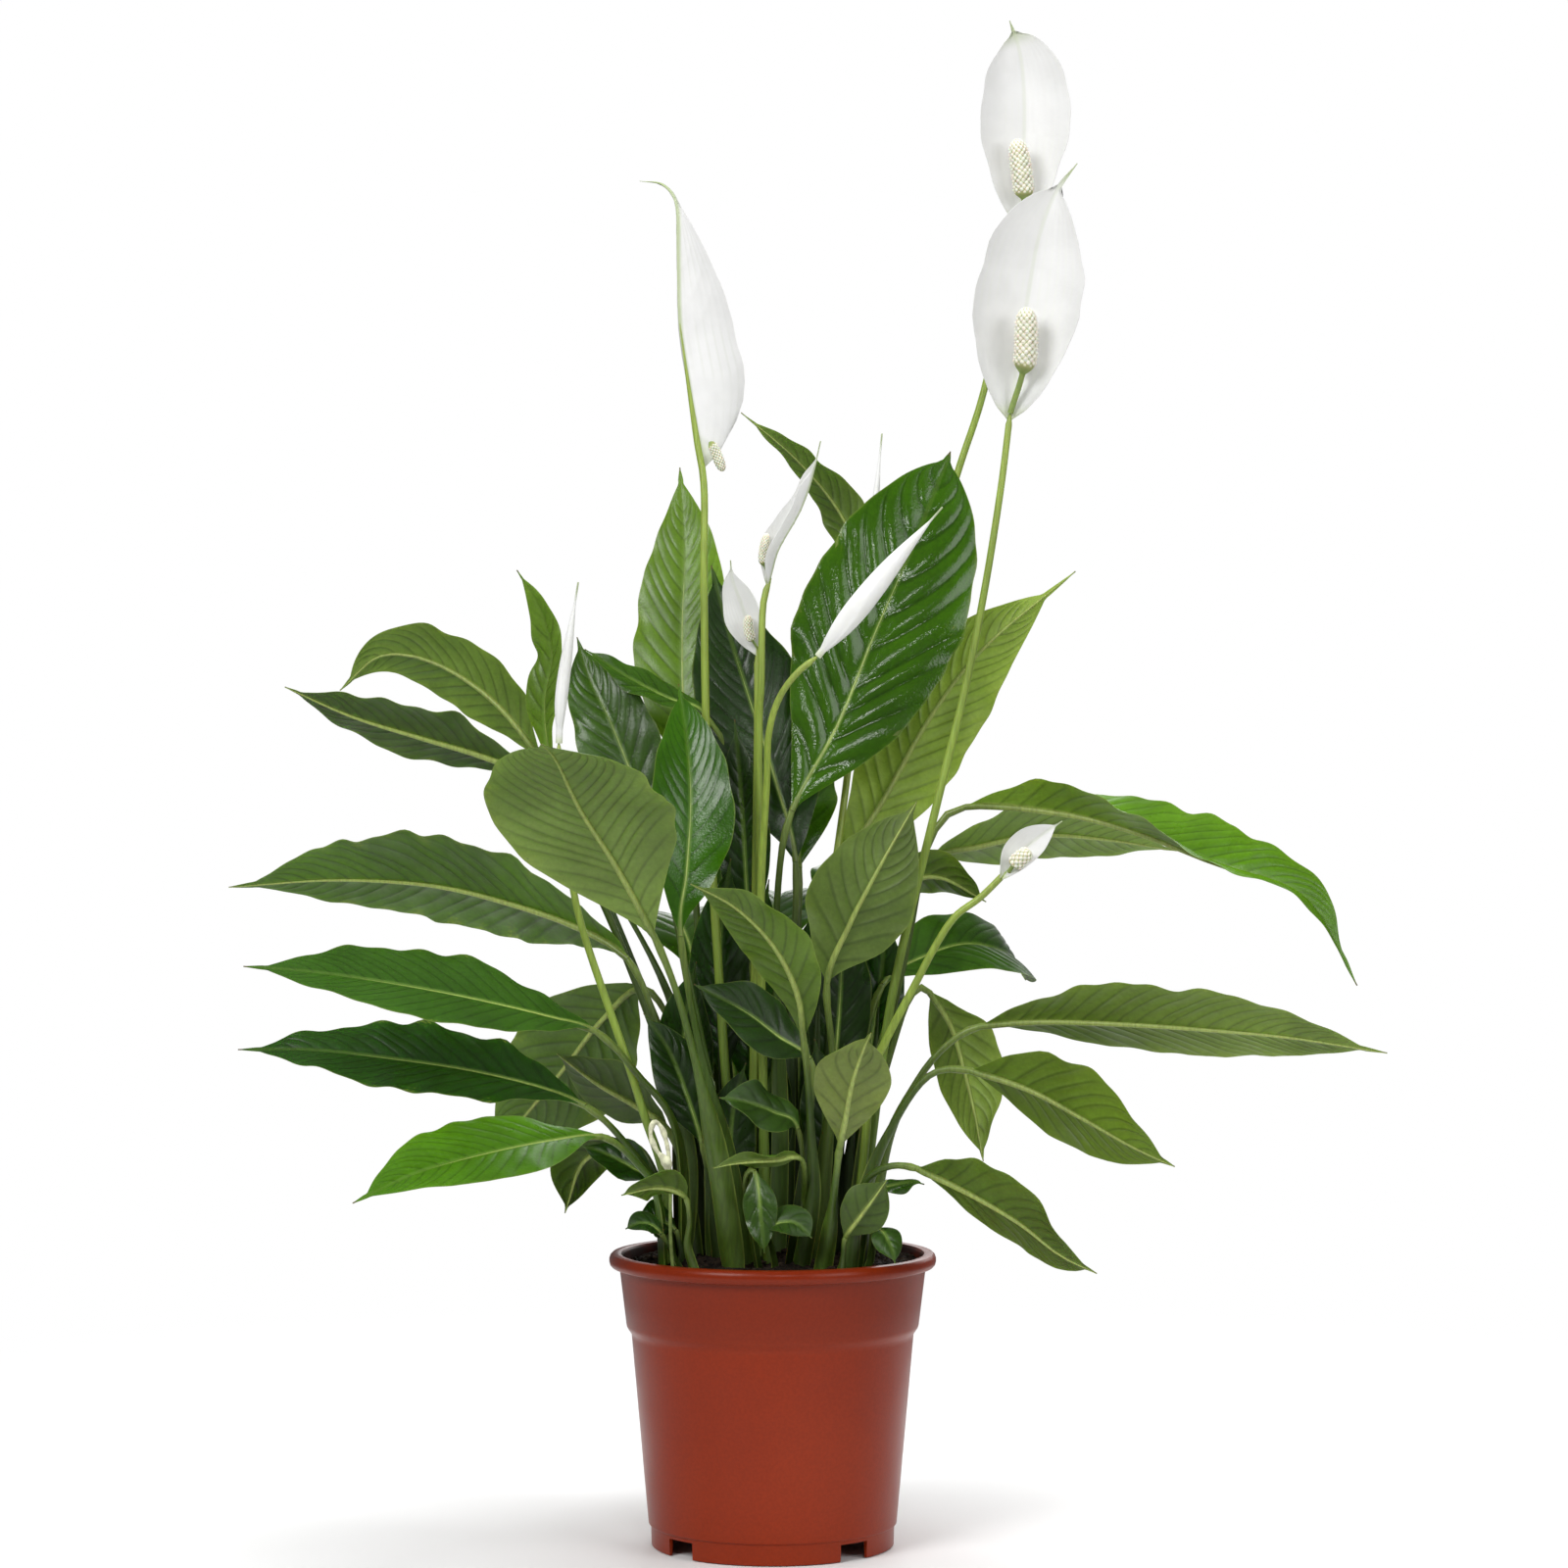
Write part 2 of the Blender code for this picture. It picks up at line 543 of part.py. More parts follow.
def turned(outline, segments):
    """A closed solid turned about Z from an outline that starts and ends on the axis."""
    shape = bmesh.new()
    rows = []
    for radius, height in outline[1:-1]:
        turns = [2 * math.pi * k / segments for k in range(segments)]
        rows.append([shape.verts.new((radius * math.cos(a), radius * math.sin(a), height)) for a in turns])
    for lower, upper in zip(rows, rows[1:]):
        for k in range(segments):
            shape.faces.new((lower[k], lower[(k + 1) % segments], upper[(k + 1) % segments], upper[k]))
    for row, (_, height) in ((rows[0], outline[0]), (rows[-1], outline[-1])):
        centre = shape.verts.new((0, 0, height))
        for k in range(segments):
            shape.faces.new((centre, row[k], row[(k + 1) % segments]))
    return shape


def lip_outline():
    """The rolled lip, from under its outer edge over the top to the inner wall."""
    middle = (LIP_UNDERSIDE + RIM_HEIGHT) / 2
    half_height = (RIM_HEIGHT - LIP_UNDERSIDE) / 2
    corners = []
    for k in range(LIP_CORNERS):
        turn = math.radians(-75 + 150 * k / (LIP_CORNERS - 1))
        radius = LIP_RADIUS - LIP_ROUNDING + LIP_ROUNDING * math.cos(turn)
        corners.append((radius, middle + half_height * math.sin(turn)))
    return corners


def pot_outline():
    """The pot's section: under its raised floor, down and round the foot, up the outside and down the inside."""
    inner_collar_top = COLLAR_TOP[0] - WALL
    return [
        (0.0, FLOOR_UNDERSIDE),
        (FOOT_RADIUS - FOOT_WALL - 0.6, FLOOR_UNDERSIDE),
        (FOOT_RADIUS - FOOT_WALL, FLOOR_UNDERSIDE - 0.8),
        (FOOT_RADIUS - FOOT_WALL + 0.4, 0.0),
        (FOOT_RADIUS - 0.3, 0.0),
        (FOOT_RADIUS, 10.6),
        BODY_FOOT,
        BODY_TOP,
        COLLAR_FOOT,
        COLLAR_TOP,
        (LIP_RADIUS - 2.4, LIP_UNDERSIDE),
        *lip_outline(),
        (inner_collar_top + 1.2, RIM_HEIGHT),
        (inner_collar_top, RIM_HEIGHT - 1.6),
        (COLLAR_FOOT[0] - WALL, COLLAR_FOOT[1] + 1.0),
        (BODY_TOP[0] - WALL, BODY_TOP[1] - 1.0),
        (BODY_FOOT[0] - WALL + 0.2, FLOOR_TOP + 2.4),
        (BODY_FOOT[0] - WALL - 2.4, FLOOR_TOP),
        (0.0, FLOOR_TOP),
    ]


def soil_outline():
    """The root ball: it follows the pot's inside, a little clear of it."""
    gap = WALL + 2 * CLEARANCE
    return [
        (0.0, FLOOR_TOP + CLEARANCE),
        (BODY_FOOT[0] - gap - 2.6, FLOOR_TOP + CLEARANCE),
        (BODY_FOOT[0] - gap, FLOOR_TOP + 3.0),
        (BODY_TOP[0] - gap, BODY_TOP[1] - 1.0),
        (COLLAR_FOOT[0] - gap, COLLAR_FOOT[1] + 1.6),
        (COLLAR_FOOT[0] - gap + 2.4, SOIL_TOP - 1.4),
        (COLLAR_FOOT[0] - gap + 0.6, SOIL_TOP),
        (0.0, SOIL_TOP),
    ]


def add_cutter(name, shape):
    cutter = add_object(name, shape, "terracotta")
    cutter.hide_render = True
    cutter.display_type = "WIRE"
    return cutter


def cut(target, cutter):
    boolean = target.modifiers.new(cutter.name, "BOOLEAN")
    boolean.operation = "DIFFERENCE"
    boolean.solver = "EXACT"
    boolean.object = cutter


def make_pot():
    """The pot, with notches through its foot ring and drain holes through its floor."""
    pot = add_object("nursery_pot", turned(pot_outline(), POT_SEGMENTS), "terracotta", 30)

    notches = bmesh.new()
    for k in range(NOTCH_COUNT):
        turn = NOTCH_TURN + math.pi / 4 + 2 * math.pi * k / NOTCH_COUNT
        made = bmesh.ops.create_cube(notches, size=1.0)["verts"]
        bmesh.ops.scale(notches, vec=(CUTTER_DEPTH, NOTCH_WIDTH, CUTTER_DEPTH), verts=made)
        bmesh.ops.translate(notches, vec=(FOOT_RADIUS, 0, NOTCH_TOP - CUTTER_DEPTH / 2), verts=made)
        bmesh.ops.rotate(notches, cent=(0, 0, 0), matrix=Matrix.Rotation(turn, 3, "Z"), verts=made)
    cut(pot, add_cutter("notch_cutter", notches))

    holes = bmesh.new()
    for k in range(HOLE_COUNT):
        turn = 2 * math.pi * (k + 0.5) / HOLE_COUNT
        made = bmesh.ops.create_cone(holes, cap_ends=True, segments=HOLE_SIDES, radius1=HOLE_RADIUS,
                                     radius2=HOLE_RADIUS, depth=CUTTER_DEPTH)["verts"]
        bmesh.ops.translate(holes, vec=(HOLE_RING, 0, (FLOOR_UNDERSIDE + FLOOR_TOP) / 2), verts=made)
        bmesh.ops.rotate(holes, cent=(0, 0, 0), matrix=Matrix.Rotation(turn, 3, "Z"), verts=made)
    cut(pot, add_cutter("drain_cutter", holes))


def withered_radius(share):
    """A thin stalk that swells over its last part."""
    return WITHERED_RADIUS + WITHERED_SWELLING * smooth_step(5 * (share - 0.6))


def make_withered_flower():
    """A spent flower: a limp little stalk that curls over at its top."""
    foot = (WITHERED_STEM[0][0], WITHERED_STEM[0][1], SOIL_TOP + CLEARANCE)
    path = Path((foot, *WITHERED_STEM[1:]))
    rings = tube_rings(path, withered_radius, STEM_SIDES, WITHERED_STEPS, flat_start=True)
    add_object("withered_flower", loft(rings), "withered")


def main():
    clear_scene()
    make_pot()
    add_object("potting_soil", turned(soil_outline(), POT_SEGMENTS), "soil")
    for leaf in LEAVES:
        make_leaf(leaf)
    for flower in FLOWERS:
        make_stem(flower.name + "_stem", flower.stem, FLOWER_STEM_RADIUS)
        make_spathe(flower.name + "_spathe", flower)
        make_spadix(flower.name + "_spadix", flower)
    for bud in BUDS:
        make_bud(bud)
    make_withered_flower()


main()
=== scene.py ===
"""The potted peace lily as it looks: each leaf, flower, stem and the pot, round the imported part.

Points in the tables are in millimetres, in the part's own frame: +Z up, the plant's front faces -Y.
"""

import math

import bmesh
import bpy
import numpy as np
from mathutils import Matrix, Vector


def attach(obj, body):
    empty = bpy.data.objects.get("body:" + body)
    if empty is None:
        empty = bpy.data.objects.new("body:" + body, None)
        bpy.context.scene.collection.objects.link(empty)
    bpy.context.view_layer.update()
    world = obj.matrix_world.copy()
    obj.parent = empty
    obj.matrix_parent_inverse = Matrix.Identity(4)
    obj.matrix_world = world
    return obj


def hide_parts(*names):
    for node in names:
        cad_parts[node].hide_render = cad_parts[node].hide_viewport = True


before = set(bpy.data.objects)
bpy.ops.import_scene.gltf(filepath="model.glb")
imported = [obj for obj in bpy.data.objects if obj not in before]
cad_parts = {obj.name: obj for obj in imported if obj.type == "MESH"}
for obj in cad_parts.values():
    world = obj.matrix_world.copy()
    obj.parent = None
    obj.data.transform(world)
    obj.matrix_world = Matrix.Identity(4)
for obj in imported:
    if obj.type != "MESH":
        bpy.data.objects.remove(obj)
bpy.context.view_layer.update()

MM = 0.001
SOIL_TOP = 145.0
SOIL_HEAP = 6.5
BURIED = 8.0
BLADE_THICKNESS = 0.45
SPATHE_THICKNESS = 0.5
FLOWER_STEM_RADIUS = 1.8
BUD_STEM_RADIUS = 1.7
STEM_TONE = (0.25, 0.35, 0.05)
# The old stalks' near-black tone is painted shade among the stalks.
OLD_STALK_SHADE_TONE = (0.018, 0.036, 0.003)
SMALL_LEAF = 16  # half width: the stalk and rib of a narrower leaf are thinner
SMALL_LEAF_SHARE = 0.72

# Where each group's random draws start.
LEAF_SEED, FLOWER_SEED, BUD_SEED, OLD_STALK_SEED, SOIL_SEED = 100, 300, 400, 55, 7

# How finely things are built.
SPAN_SAMPLES = 16
HALF_COLUMNS = 10
VEIN_STEPS = (0.0, 0.12, 0.3, 0.5, 0.7, 0.88)
VEIN_GAP = 9.5
STALK_SIDES = 16
STALK_RINGS = 26
RIB_RINGS = 26

# Colours of a leaf's upper side, its underside and its stalk. The looks for leaves deep inside the plant are
# darker
# # copies of the others: painted shade. Every stalk colour is darkened too: painted shade among the stalks.
LOOKS = {
    "dark": dict(upper=(0.026, 0.074, 0.002), under=(0.070, 0.120, 0.014), stalk=(0.037, 0.073, 0.004)),
    "deep": dict(upper=(0.009, 0.028, 0.001), under=(0.040, 0.070, 0.008), stalk=(0.022, 0.046, 0.003)),
    "bright": dict(upper=(0.055, 0.150, 0.003), under=(0.110, 0.180, 0.018), stalk=(0.053, 0.102, 0.006)),
    "olive": dict(upper=(0.045, 0.115, 0.005), under=(0.080, 0.130, 0.012), stalk=(0.046, 0.083, 0.006)),
    "shade": dict(upper=(0.026, 0.062, 0.004), under=(0.050, 0.084, 0.010), stalk=(0.031, 0.059, 0.004)),
    "pale": dict(upper=(0.065, 0.150, 0.006), under=(0.165, 0.245, 0.032), stalk=(0.068, 0.119, 0.009)),
    "grey": dict(upper=(0.030, 0.090, 0.005), under=(0.108, 0.152, 0.034), stalk=(0.059, 0.102, 0.008)),
}

# The record's slot for each look. The looks that aren't here are leaf_olive.
SLOTS = {"dark": "leaf_dark", "deep": "leaf_dark", "bright": "leaf_bright"}

# A leaf's shape where its own row says nothing: the fold at the midrib and the bend back towards the
# margins in degrees; the margins' ripple and the puckering between side veins in mm; its upper side's
# roughness; a power that makes its upper side turn early (below 1) or late; where the blade is widest;
# how fast it narrows to its base and tip; the share of its length before the drip tip; the stalk's half
# width in mm where it sheathes the next one. A row may also give its number of side veins, its own
# colours and its record slot.
SHAPE = dict(fold=14, curl=-16, ripple=1.5, pucker=0.6, rough=0.30, turn=1.0, widest=0.42, base=1.1, tip=1.0,
             reach=0.95, sheath=5.0)

LEAVES = []


def leaf(name, foot, stalk, blade, half, up_joint, up_tip, look, in_cad=True, **shape):
    """Lists a leaf: its stalk's foot and points, its blade's points from joint to tip, half its width,
    the way its upper side faces at the joint and at the tip, its look, and what is special in its shape."""
    path = ((*foot, SOIL_TOP - BURIED), *stalk, *blade)
    row = dict(SHAPE, name=name, path=path, joint=1 + len(stalk), half=half, up_joint=up_joint, up_tip=up_tip,
               look=LOOKS[look], slot=SLOTS.get(look, "leaf_olive"), in_cad=in_cad)
    LEAVES.append(row | shape)


leaf("leaf_centre_glossy", (2, 0),
     ((4, 4, 217), (2, 6, 293), (3, 7, 344)),
     ((10, 8, 381), (34, 18, 426), (54, 30, 475), (75, 42, 523), (95, 58, 573)),
     43, (5, -97, 20), (20, -93, 36), "dark", pucker=1.7, veins=11, ripple=0.8, fold=9,
     upper=(0.026, 0.082, 0.001), widest=0.52, tip=0.72,
     reach=0.97, rough=0.13)
leaf("leaf_right_pale", (24, 30),
     ((28, 26, 213), (32, 32, 291)),
     ((36, 40, 345), (61, 48, 390), (85, 54, 432), (114, 58, 469), (162, 60, 509)),
     27, (20, 95, 20), (30, 90, 40), "pale", ripple=2.6, reach=0.91, under=(0.250, 0.365, 0.045),
     pucker=0.9)
leaf("leaf_right_arching", (40, 14),
     ((53, 12, 231), (70, 14, 308), (82, 16, 364)),
     ((101, 14, 383), (149, 0, 381), (188, -16, 371), (227, -32, 355), (271, -46, 338), (296, -58, 293)),
     28, (-10, 75, 65), (45, -80, 40), "olive", ripple=2.0, fold=34, curl=-10, turn=0.55,
     upper=(0.062, 0.160, 0.004), under=(0.150, 0.225, 0.016), widest=0.34, tip=1.3,
     slot="leaf_bright")
leaf("leaf_right_behind", (42, 40),
     ((53, 50, 229), (70, 66, 311)),
     ((85, 76, 353), (112, 84, 362), (145, 94, 368), (184, 116, 365), (224, 140, 358)),
     26, (0, 70, 70), (10, 70, 70), "olive", under=(0.160, 0.225, 0.032))
leaf("leaf_right_middle", (48, -20),
     ((59, -26, 209), (74, -30, 242), (89, -33, 261)),
     ((106, -37, 271), (135, -50, 275), (179, -70, 275), (221, -90, 273), (258, -106, 270), (302, -120, 263)),
     30, (5, 60, 80), (0, 70, 70), "grey", ripple=1.3, under=(0.135, 0.192, 0.026), pucker=0.8)
leaf("leaf_right_lower", (42, -32),
     ((49, -35, 189), (64, -38, 225), (81, -42, 247)),
     ((101, -46, 249), (130, -56, 241), (157, -68, 227), (180, -78, 214), (201, -86, 204)),
     31, (20, 70, 70), (25, 70, 65), "olive", ripple=1.2, under=(0.112, 0.182, 0.015), pucker=0.8)
leaf("leaf_right_bottom", (38, -46),
     ((42, -47, 171), (47, -50, 192), (58, -56, 201)),
     ((73, -64, 201), (97, -82, 192), (122, -104, 179), (141, -122, 165), (158, -138, 157)),
     27, (30, 70, 65), (35, 65, 65), "olive", ripple=0.9, pucker=0.7)
leaf("leaf_right_dark", (36, 20),
     ((43, 22, 199), (47, 26, 250)),
     ((58, 32, 289), (81, 42, 304), (105, 56, 310), (128, 76, 303), (138, 104, 288)),
     23, (-5, -70, 70), (30, -60, 75), "dark", ripple=0.8, tip=0.6, reach=0.98, rough=0.55)
leaf("leaf_right_hanging", (48, 2),
     ((51, 1, 211), (65, 2, 267), (74, 6, 287)),
     ((82, 12, 286), (94, 20, 269), (101, 20, 246), (107, 16, 220), (110, 8, 198)),
     23, (50, 75, 40), (70, 70, -10), "grey", under=(0.165, 0.240, 0.045))
leaf("leaf_centre_grey", (22, -14),
     ((26, -16, 192), (31, -21, 249)),
     ((28, -27, 293), (39, -32, 322), (49, -35, 342), (61, -35, 364), (74, -30, 386)),
     27, (10, 95, 20), (10, 90, 40), "grey", pucker=0.9, under=(0.094, 0.145, 0.024))
leaf("leaf_centre_small", (12, -33),
     ((20, -37, 184), (19, -44, 230)),
     ((16, -52, 265), (13, -62, 289), (1, -80, 314), (-18, -102, 334), (-40, -120, 346)),
     17, (30, 92, 20), (20, 92, 30), "shade", under=(0.076, 0.128, 0.010))
leaf("leaf_centre_pale", (24, -44),
     ((29, -47, 168), (32, -54, 194)),
     ((34, -60, 211), (37, -68, 227), (40, -78, 245), (45, -90, 262), (49, -104, 272)),
     20, (5, 96, 20), (5, 60, 80), "grey", base=1.25, widest=0.52, under=(0.127, 0.165, 0.034), tip=2.3,
     pucker=0.8)
leaf("leaf_centre_shaded", (8, -22),
     ((15, -26, 192), (20, -28, 233)),
     ((19, -30, 254), (3, -35, 266), (-14, -39, 279), (-40, -44, 293)),
     18, (10, -75, 60), (10, -75, 60), "deep", rough=0.42)
leaf("leaf_low_left", (-36, -52),
     ((-43, -54, 159), (-42, -57, 174)),
     ((-44, -60, 186), (-51, -64, 191), (-62, -68, 192), (-76, -70, 188)),
     15, (10, 65, 75), (-10, 60, 75), "olive", sheath=3)
leaf("leaf_low_right", (34, -54),
     ((36, -54, 156),),
     ((37, -54, 165), (43, -56, 174), (51, -58, 185), (58, -60, 195)),
     13, (20, 80, 50), (20, 80, 50), "shade", sheath=3)
leaf("leaf_front_large", (-19, -36),
     ((-27, -44, 195), (-36, -54, 241), (-47, -66, 286)),
     ((-59, -76, 318), (-77, -94, 354), (-94, -120, 383), (-104, -154, 407), (-109, -190, 414)),
     46, (20, 90, 30), (10, 50, 85), "grey", veins=19, ripple=0.8, fold=6, pucker=0.9, base=1.25, widest=0.5,
     sheath=7, under=(0.160, 0.215, 0.040))
leaf("leaf_front_bright", (-12, -22),
     ((-23, -27, 204), (-36, -32, 254)),
     ((-47, -36, 317), (-44, -34, 350), (-42, -28, 385), (-44, -18, 415), (-49, 0, 447)),
     24, (10, -98, 10), (10, -95, 25), "bright", pucker=0.25, fold=22, curl=10, base=1.3,
     upper=(0.028, 0.094, 0.001), rough=0.22)
leaf("leaf_left_tall", (-38, 26),
     ((-46, 32, 214), (-75, 42, 301), (-107, 54, 374)),
     ((-124, 62, 408), (-150, 72, 440), (-183, 84, 461), (-213, 91, 465), (-236, 97, 446)),
     22, (12, 70, 70), (-24, 84, 40), "olive", ripple=1.8, under=(0.125, 0.178, 0.026))
leaf("leaf_left_upper", (-44, 12),
     ((-47, 18, 215), (-77, 32, 302), (-108, 33, 369)),
     ((-126, 31, 398), (-152, 28, 410), (-185, 26, 420), (-221, 22, 431), (-256, 16, 446)),
     22, (10, 60, 80), (5, 65, 75), "olive", ripple=2.0, under=(0.044, 0.078, 0.007))
leaf("leaf_left_large", (-48, 4),
     ((-44, 6, 201), (-60, 10, 267)),
     ((-76, 16, 303), (-101, 32, 319), (-141, 56, 332), (-185, 80, 341), (-241, 108, 343), (-301, 130, 338)),
     36, (-10, 75, 65), (-10, 75, 65), "olive", ripple=2.2, veins=20, pucker=0.9, under=(0.048, 0.108, 0.004))
leaf("leaf_left_middle", (-46, -14),
     ((-49, -18, 213), (-70, -22, 246)),
     ((-91, -26, 268), (-115, -32, 276), (-154, -42, 286), (-193, -52, 294), (-232, -60, 300), (-267, -64, 303)),
     29, (0, -55, 83), (0, -60, 80), "dark", ripple=1.6, veins=20, pucker=0.6, upper=(0.024, 0.070, 0.004),
     rough=0.32)
leaf("leaf_left_dark", (-54, -6),
     ((-59, -8, 182), (-79, -9, 212)),
     ((-97, -8, 228), (-119, -4, 237), (-157, 0, 246), (-199, 4, 252), (-240, 8, 256), (-280, 12, 256)),
     28, (0, -55, 83), (0, -60, 80), "dark", ripple=2.6, veins=18, pucker=0.6, upper=(0.014, 0.048, 0.003),
     rough=0.34)
leaf("leaf_left_bottom", (-56, -22),
     ((-59, -26, 182), (-70, -31, 201)),
     ((-87, -40, 215), (-111, -60, 215), (-143, -90, 211), (-175, -120, 204), (-203, -146, 192)),
     27, (-5, -62, 78), (-10, -65, 75), "bright", ripple=0.8, base=1.3, rough=0.3, pucker=0.5)
leaf("leaf_left_olive", (-34, 36),
     ((-36, 40, 208), (-52, 50, 262)),
     ((-70, 60, 286), (-92, 76, 268), (-114, 94, 240), (-137, 112, 212), (-158, 126, 187)),
     34, (30, 80, 50), (40, 80, 40), "olive", under=(0.068, 0.112, 0.009))
leaf("leaf_left_drooping", (-58, 8),
     ((-57, 12, 174), (-66, 20, 199)),
     ((-78, 26, 206), (-92, 32, 202), (-103, 36, 192), (-110, 34, 168)),
     18, (0, 75, 65), (-70, 60, 20), "shade")
leaf("leaf_back_striped", (-26, 20),
     ((-26, 24, 199), (-38, 36, 291)),
     ((-44, 48, 395), (-48, 60, 437), (-49, 74, 480), (-48, 88, 523), (-51, 104, 568)),
     26, (-10, -95, 20), (-10, -90, 40), "bright", pucker=0.5, fold=10, upper=(0.095, 0.185, 0.012), reach=0.96,
     rough=0.34)
leaf("leaf_back_dark", (6, 12),
     ((7, 14, 200), (10, 18, 292)),
     ((12, 22, 354), (2, 28, 395), (-11, 36, 436), (-23, 46, 474), (-33, 58, 512)),
     32, (15, -95, 10), (15, -92, 30), "deep", pucker=0.4)
leaf("leaf_back_top", (32, 56),
     ((33, 66, 211), (48, 82, 342)),
     ((58, 98, 449), (52, 108, 502), (39, 118, 541), (14, 132, 574), (-18, 148, 602)),
     15, (50, 80, 30), (30, 70, 60), "olive", ripple=2.2, under=(0.115, 0.180, 0.026))
leaf("leaf_left_folded", (-22, 48),
     ((-49, 60, 265), (-92, 38, 353)),
     ((-116, 36, 405), (-121, 34, 437), (-117, 32, 464), (-123, 30, 488), (-135, 28, 508)),
     11, (-60, -75, 15), (-50, -80, 30), "bright", fold=22, reach=0.96, upper=(0.110, 0.190, 0.016))
leaf("leaf_left_pointed", (-30, 0),
     ((-33, 2, 226), (-48, 6, 313)),
     ((-62, 12, 369), (-74, 18, 400), (-86, 24, 429), (-97, 32, 452), (-104, 42, 473)),
     22, (-10, -95, 20), (-10, -92, 30), "dark", upper=(0.028, 0.070, 0.004))
leaf("leaf_rear_middle", (0, 40),
     ((0, 56, 210),),
     ((-2, 76, 296), (0, 108, 326), (5, 148, 334), (10, 190, 312)),
     30, (0, -35, 93), (0, 20, 97), "dark")
leaf("leaf_rear_left", (-14, 54),
     ((-17, 70, 184),),
     ((-20, 86, 226), (-24, 114, 246), (-30, 150, 240), (-36, 186, 210)),
     26, (0, -30, 95), (-10, 30, 90), "dark")
leaf("leaf_rear_right", (16, 60),
     ((24, 74, 184),),
     ((32, 88, 232), (38, 116, 258), (44, 150, 256), (50, 188, 230)),
     26, (0, -30, 95), (10, 30, 90), "dark")

def extra_leaf(*row, **shape):
    """A leaf that the part leaves out."""
    leaf(*row, in_cad=False, **shape)


# Small leaves between the others.
extra_leaf("leaf_right_short", (30, 46),
     ((38, 44, 228), (50, 44, 301)),
     ((61, 46, 335), (76, 50, 345), (92, 54, 345), (114, 58, 332)),
     16, (0, 70, 70), (20, 70, 70), "olive")
extra_leaf("leaf_rim_left", (-50, -20),
     ((-47, -20, 150), (-48, -20, 158)),
     ((-50, -20, 165), (-55, -21, 169), (-61, -22, 172), (-69, -24, 174)),
     12, (0, -70, 70), (0, -70, 70), "deep", sheath=2.5)
extra_leaf("leaf_left_inner", (-26, -8),
     ((-31, -8, 176),),
     ((-37, -8, 209), (-45, -8, 235), (-54, -7, 257), (-67, -5, 276)),
     15, (20, -90, 35), (20, -90, 35), "deep")
extra_leaf("leaf_centre_frilled", (12, -28),
     ((16, -34, 180),),
     ((13, -40, 219), (1, -46, 228), (-14, -52, 234), (-27, -55, 236)),
     14, (10, -75, 60), (10, -80, 50), "shade", ripple=2.4, sheath=3, rough=0.45)
extra_leaf("leaf_centre_narrow", (14, -24),
     ((16, -32, 176),),
     ((15, -50, 204), (1, -55, 205), (-16, -60, 204), (-30, -62, 201)),
     7, (0, 60, 80), (0, 60, 80), "olive", sheath=3)
extra_leaf("leaf_centre_young", (-6, -28),
     ((-12, -42, 176), (-14, -53, 193), (-12, -56, 199)),
     ((-9, -58, 199), (-7, -61, 190), (-6, -63, 178), (-4, -63, 158)),
     9, (0, -60, 80), (0, -97, 20), "shade", sheath=2.5)
extra_leaf("leaf_centre_lowest", (2, -30),
     ((0, -44, 156),),
     ((-2, -60, 170), (6, -63, 174), (13, -65, 173), (20, -66, 166)),
     10, (0, -70, 70), (0, -70, 70), "shade", sheath=2.5, rough=0.5)
extra_leaf("leaf_right_tiny", (44, -38),
     ((48, -38, 165), (50, -38, 180)),
     ((53, -40, 187), (62, -45, 191), (71, -50, 193), (77, -54, 192)),
     5, (0, -70, 70), (0, -70, 70), "shade", sheath=2.5)
extra_leaf("leaf_rim_right", (46, -36),
     ((50, -40, 153), (52, -44, 163)),
     ((53, -47, 168), (56, -53, 168), (60, -60, 161), (62, -64, 153)),
     8, (0, -60, 80), (40, -90, 10), "shade", sheath=2.5, rough=0.45)
extra_leaf("leaf_left_lowest", (-44, -30),
     ((-52, -34, 156),),
     ((-57, -37, 165), (-62, -39, 170), (-68, -41, 171), (-75, -42, 168)),
     8, (0, -60, 80), (0, -60, 80), "deep", sheath=2.5, rough=0.45)
extra_leaf("leaf_left_under", (-40, 4),
     ((-46, 8, 190),),
     ((-56, 8, 216), (-71, 10, 227), (-92, 10, 239), (-113, 10, 254)),
     20, (0, 70, 70), (0, 70, 70), "shade")
extra_leaf("leaf_left_short", (-48, -10),
     ((-54, -8, 172),),
     ((-63, -5, 189), (-73, -4, 196), (-87, -2, 203), (-100, 0, 207)),
     12, (0, -70, 70), (0, -70, 70), "deep", sheath=3)
extra_leaf("leaf_back_side", (-16, 30),
     ((-17, 32, 260), (-20, 28, 390)),
     ((-35, 25, 431), (-56, 25, 441), (-77, 25, 452), (-99, 22, 466)),
     11, (0, -60, 75), (0, -60, 75), "dark", sheath=3)
extra_leaf("leaf_back_upright", (-8, 22),
     ((-8, 22, 220),),
     ((-12, 20, 313), (-14, 20, 344), (-16, 20, 380), (-20, 20, 429)),
     14, (0, -95, 10), (0, -95, 10), "deep", sheath=3)

# Leaves that fill the back and the sides of the plant.
for number, (foot, stalk, blade, half) in enumerate((
    ((-30, 40), ((-36, 54, 220),), ((-42, 76, 292), (-50, 104, 318), (-58, 138, 322), (-64, 168, 300)), 25),
    ((28, 46), ((32, 60, 230),), ((38, 80, 310), (44, 106, 340), (50, 138, 346), (54, 166, 326)), 24),
    ((4, 50), ((2, 66, 190),), ((-2, 86, 232), (-4, 112, 252), (-6, 142, 248), (-8, 168, 222)), 22),
    ((10, 34), ((12, 44, 250),), ((14, 60, 350), (12, 80, 392), (8, 106, 412), (2, 134, 404)), 23),
    ((-20, 36), ((-24, 46, 240),), ((-26, 58, 330), (-28, 78, 372), (-34, 104, 392), (-40, 132, 384)), 22),
), 1):
    extra_leaf(f"leaf_back_{number}", foot, stalk, blade, half, (0, -50, 85), (0, 10, 98), "dark")

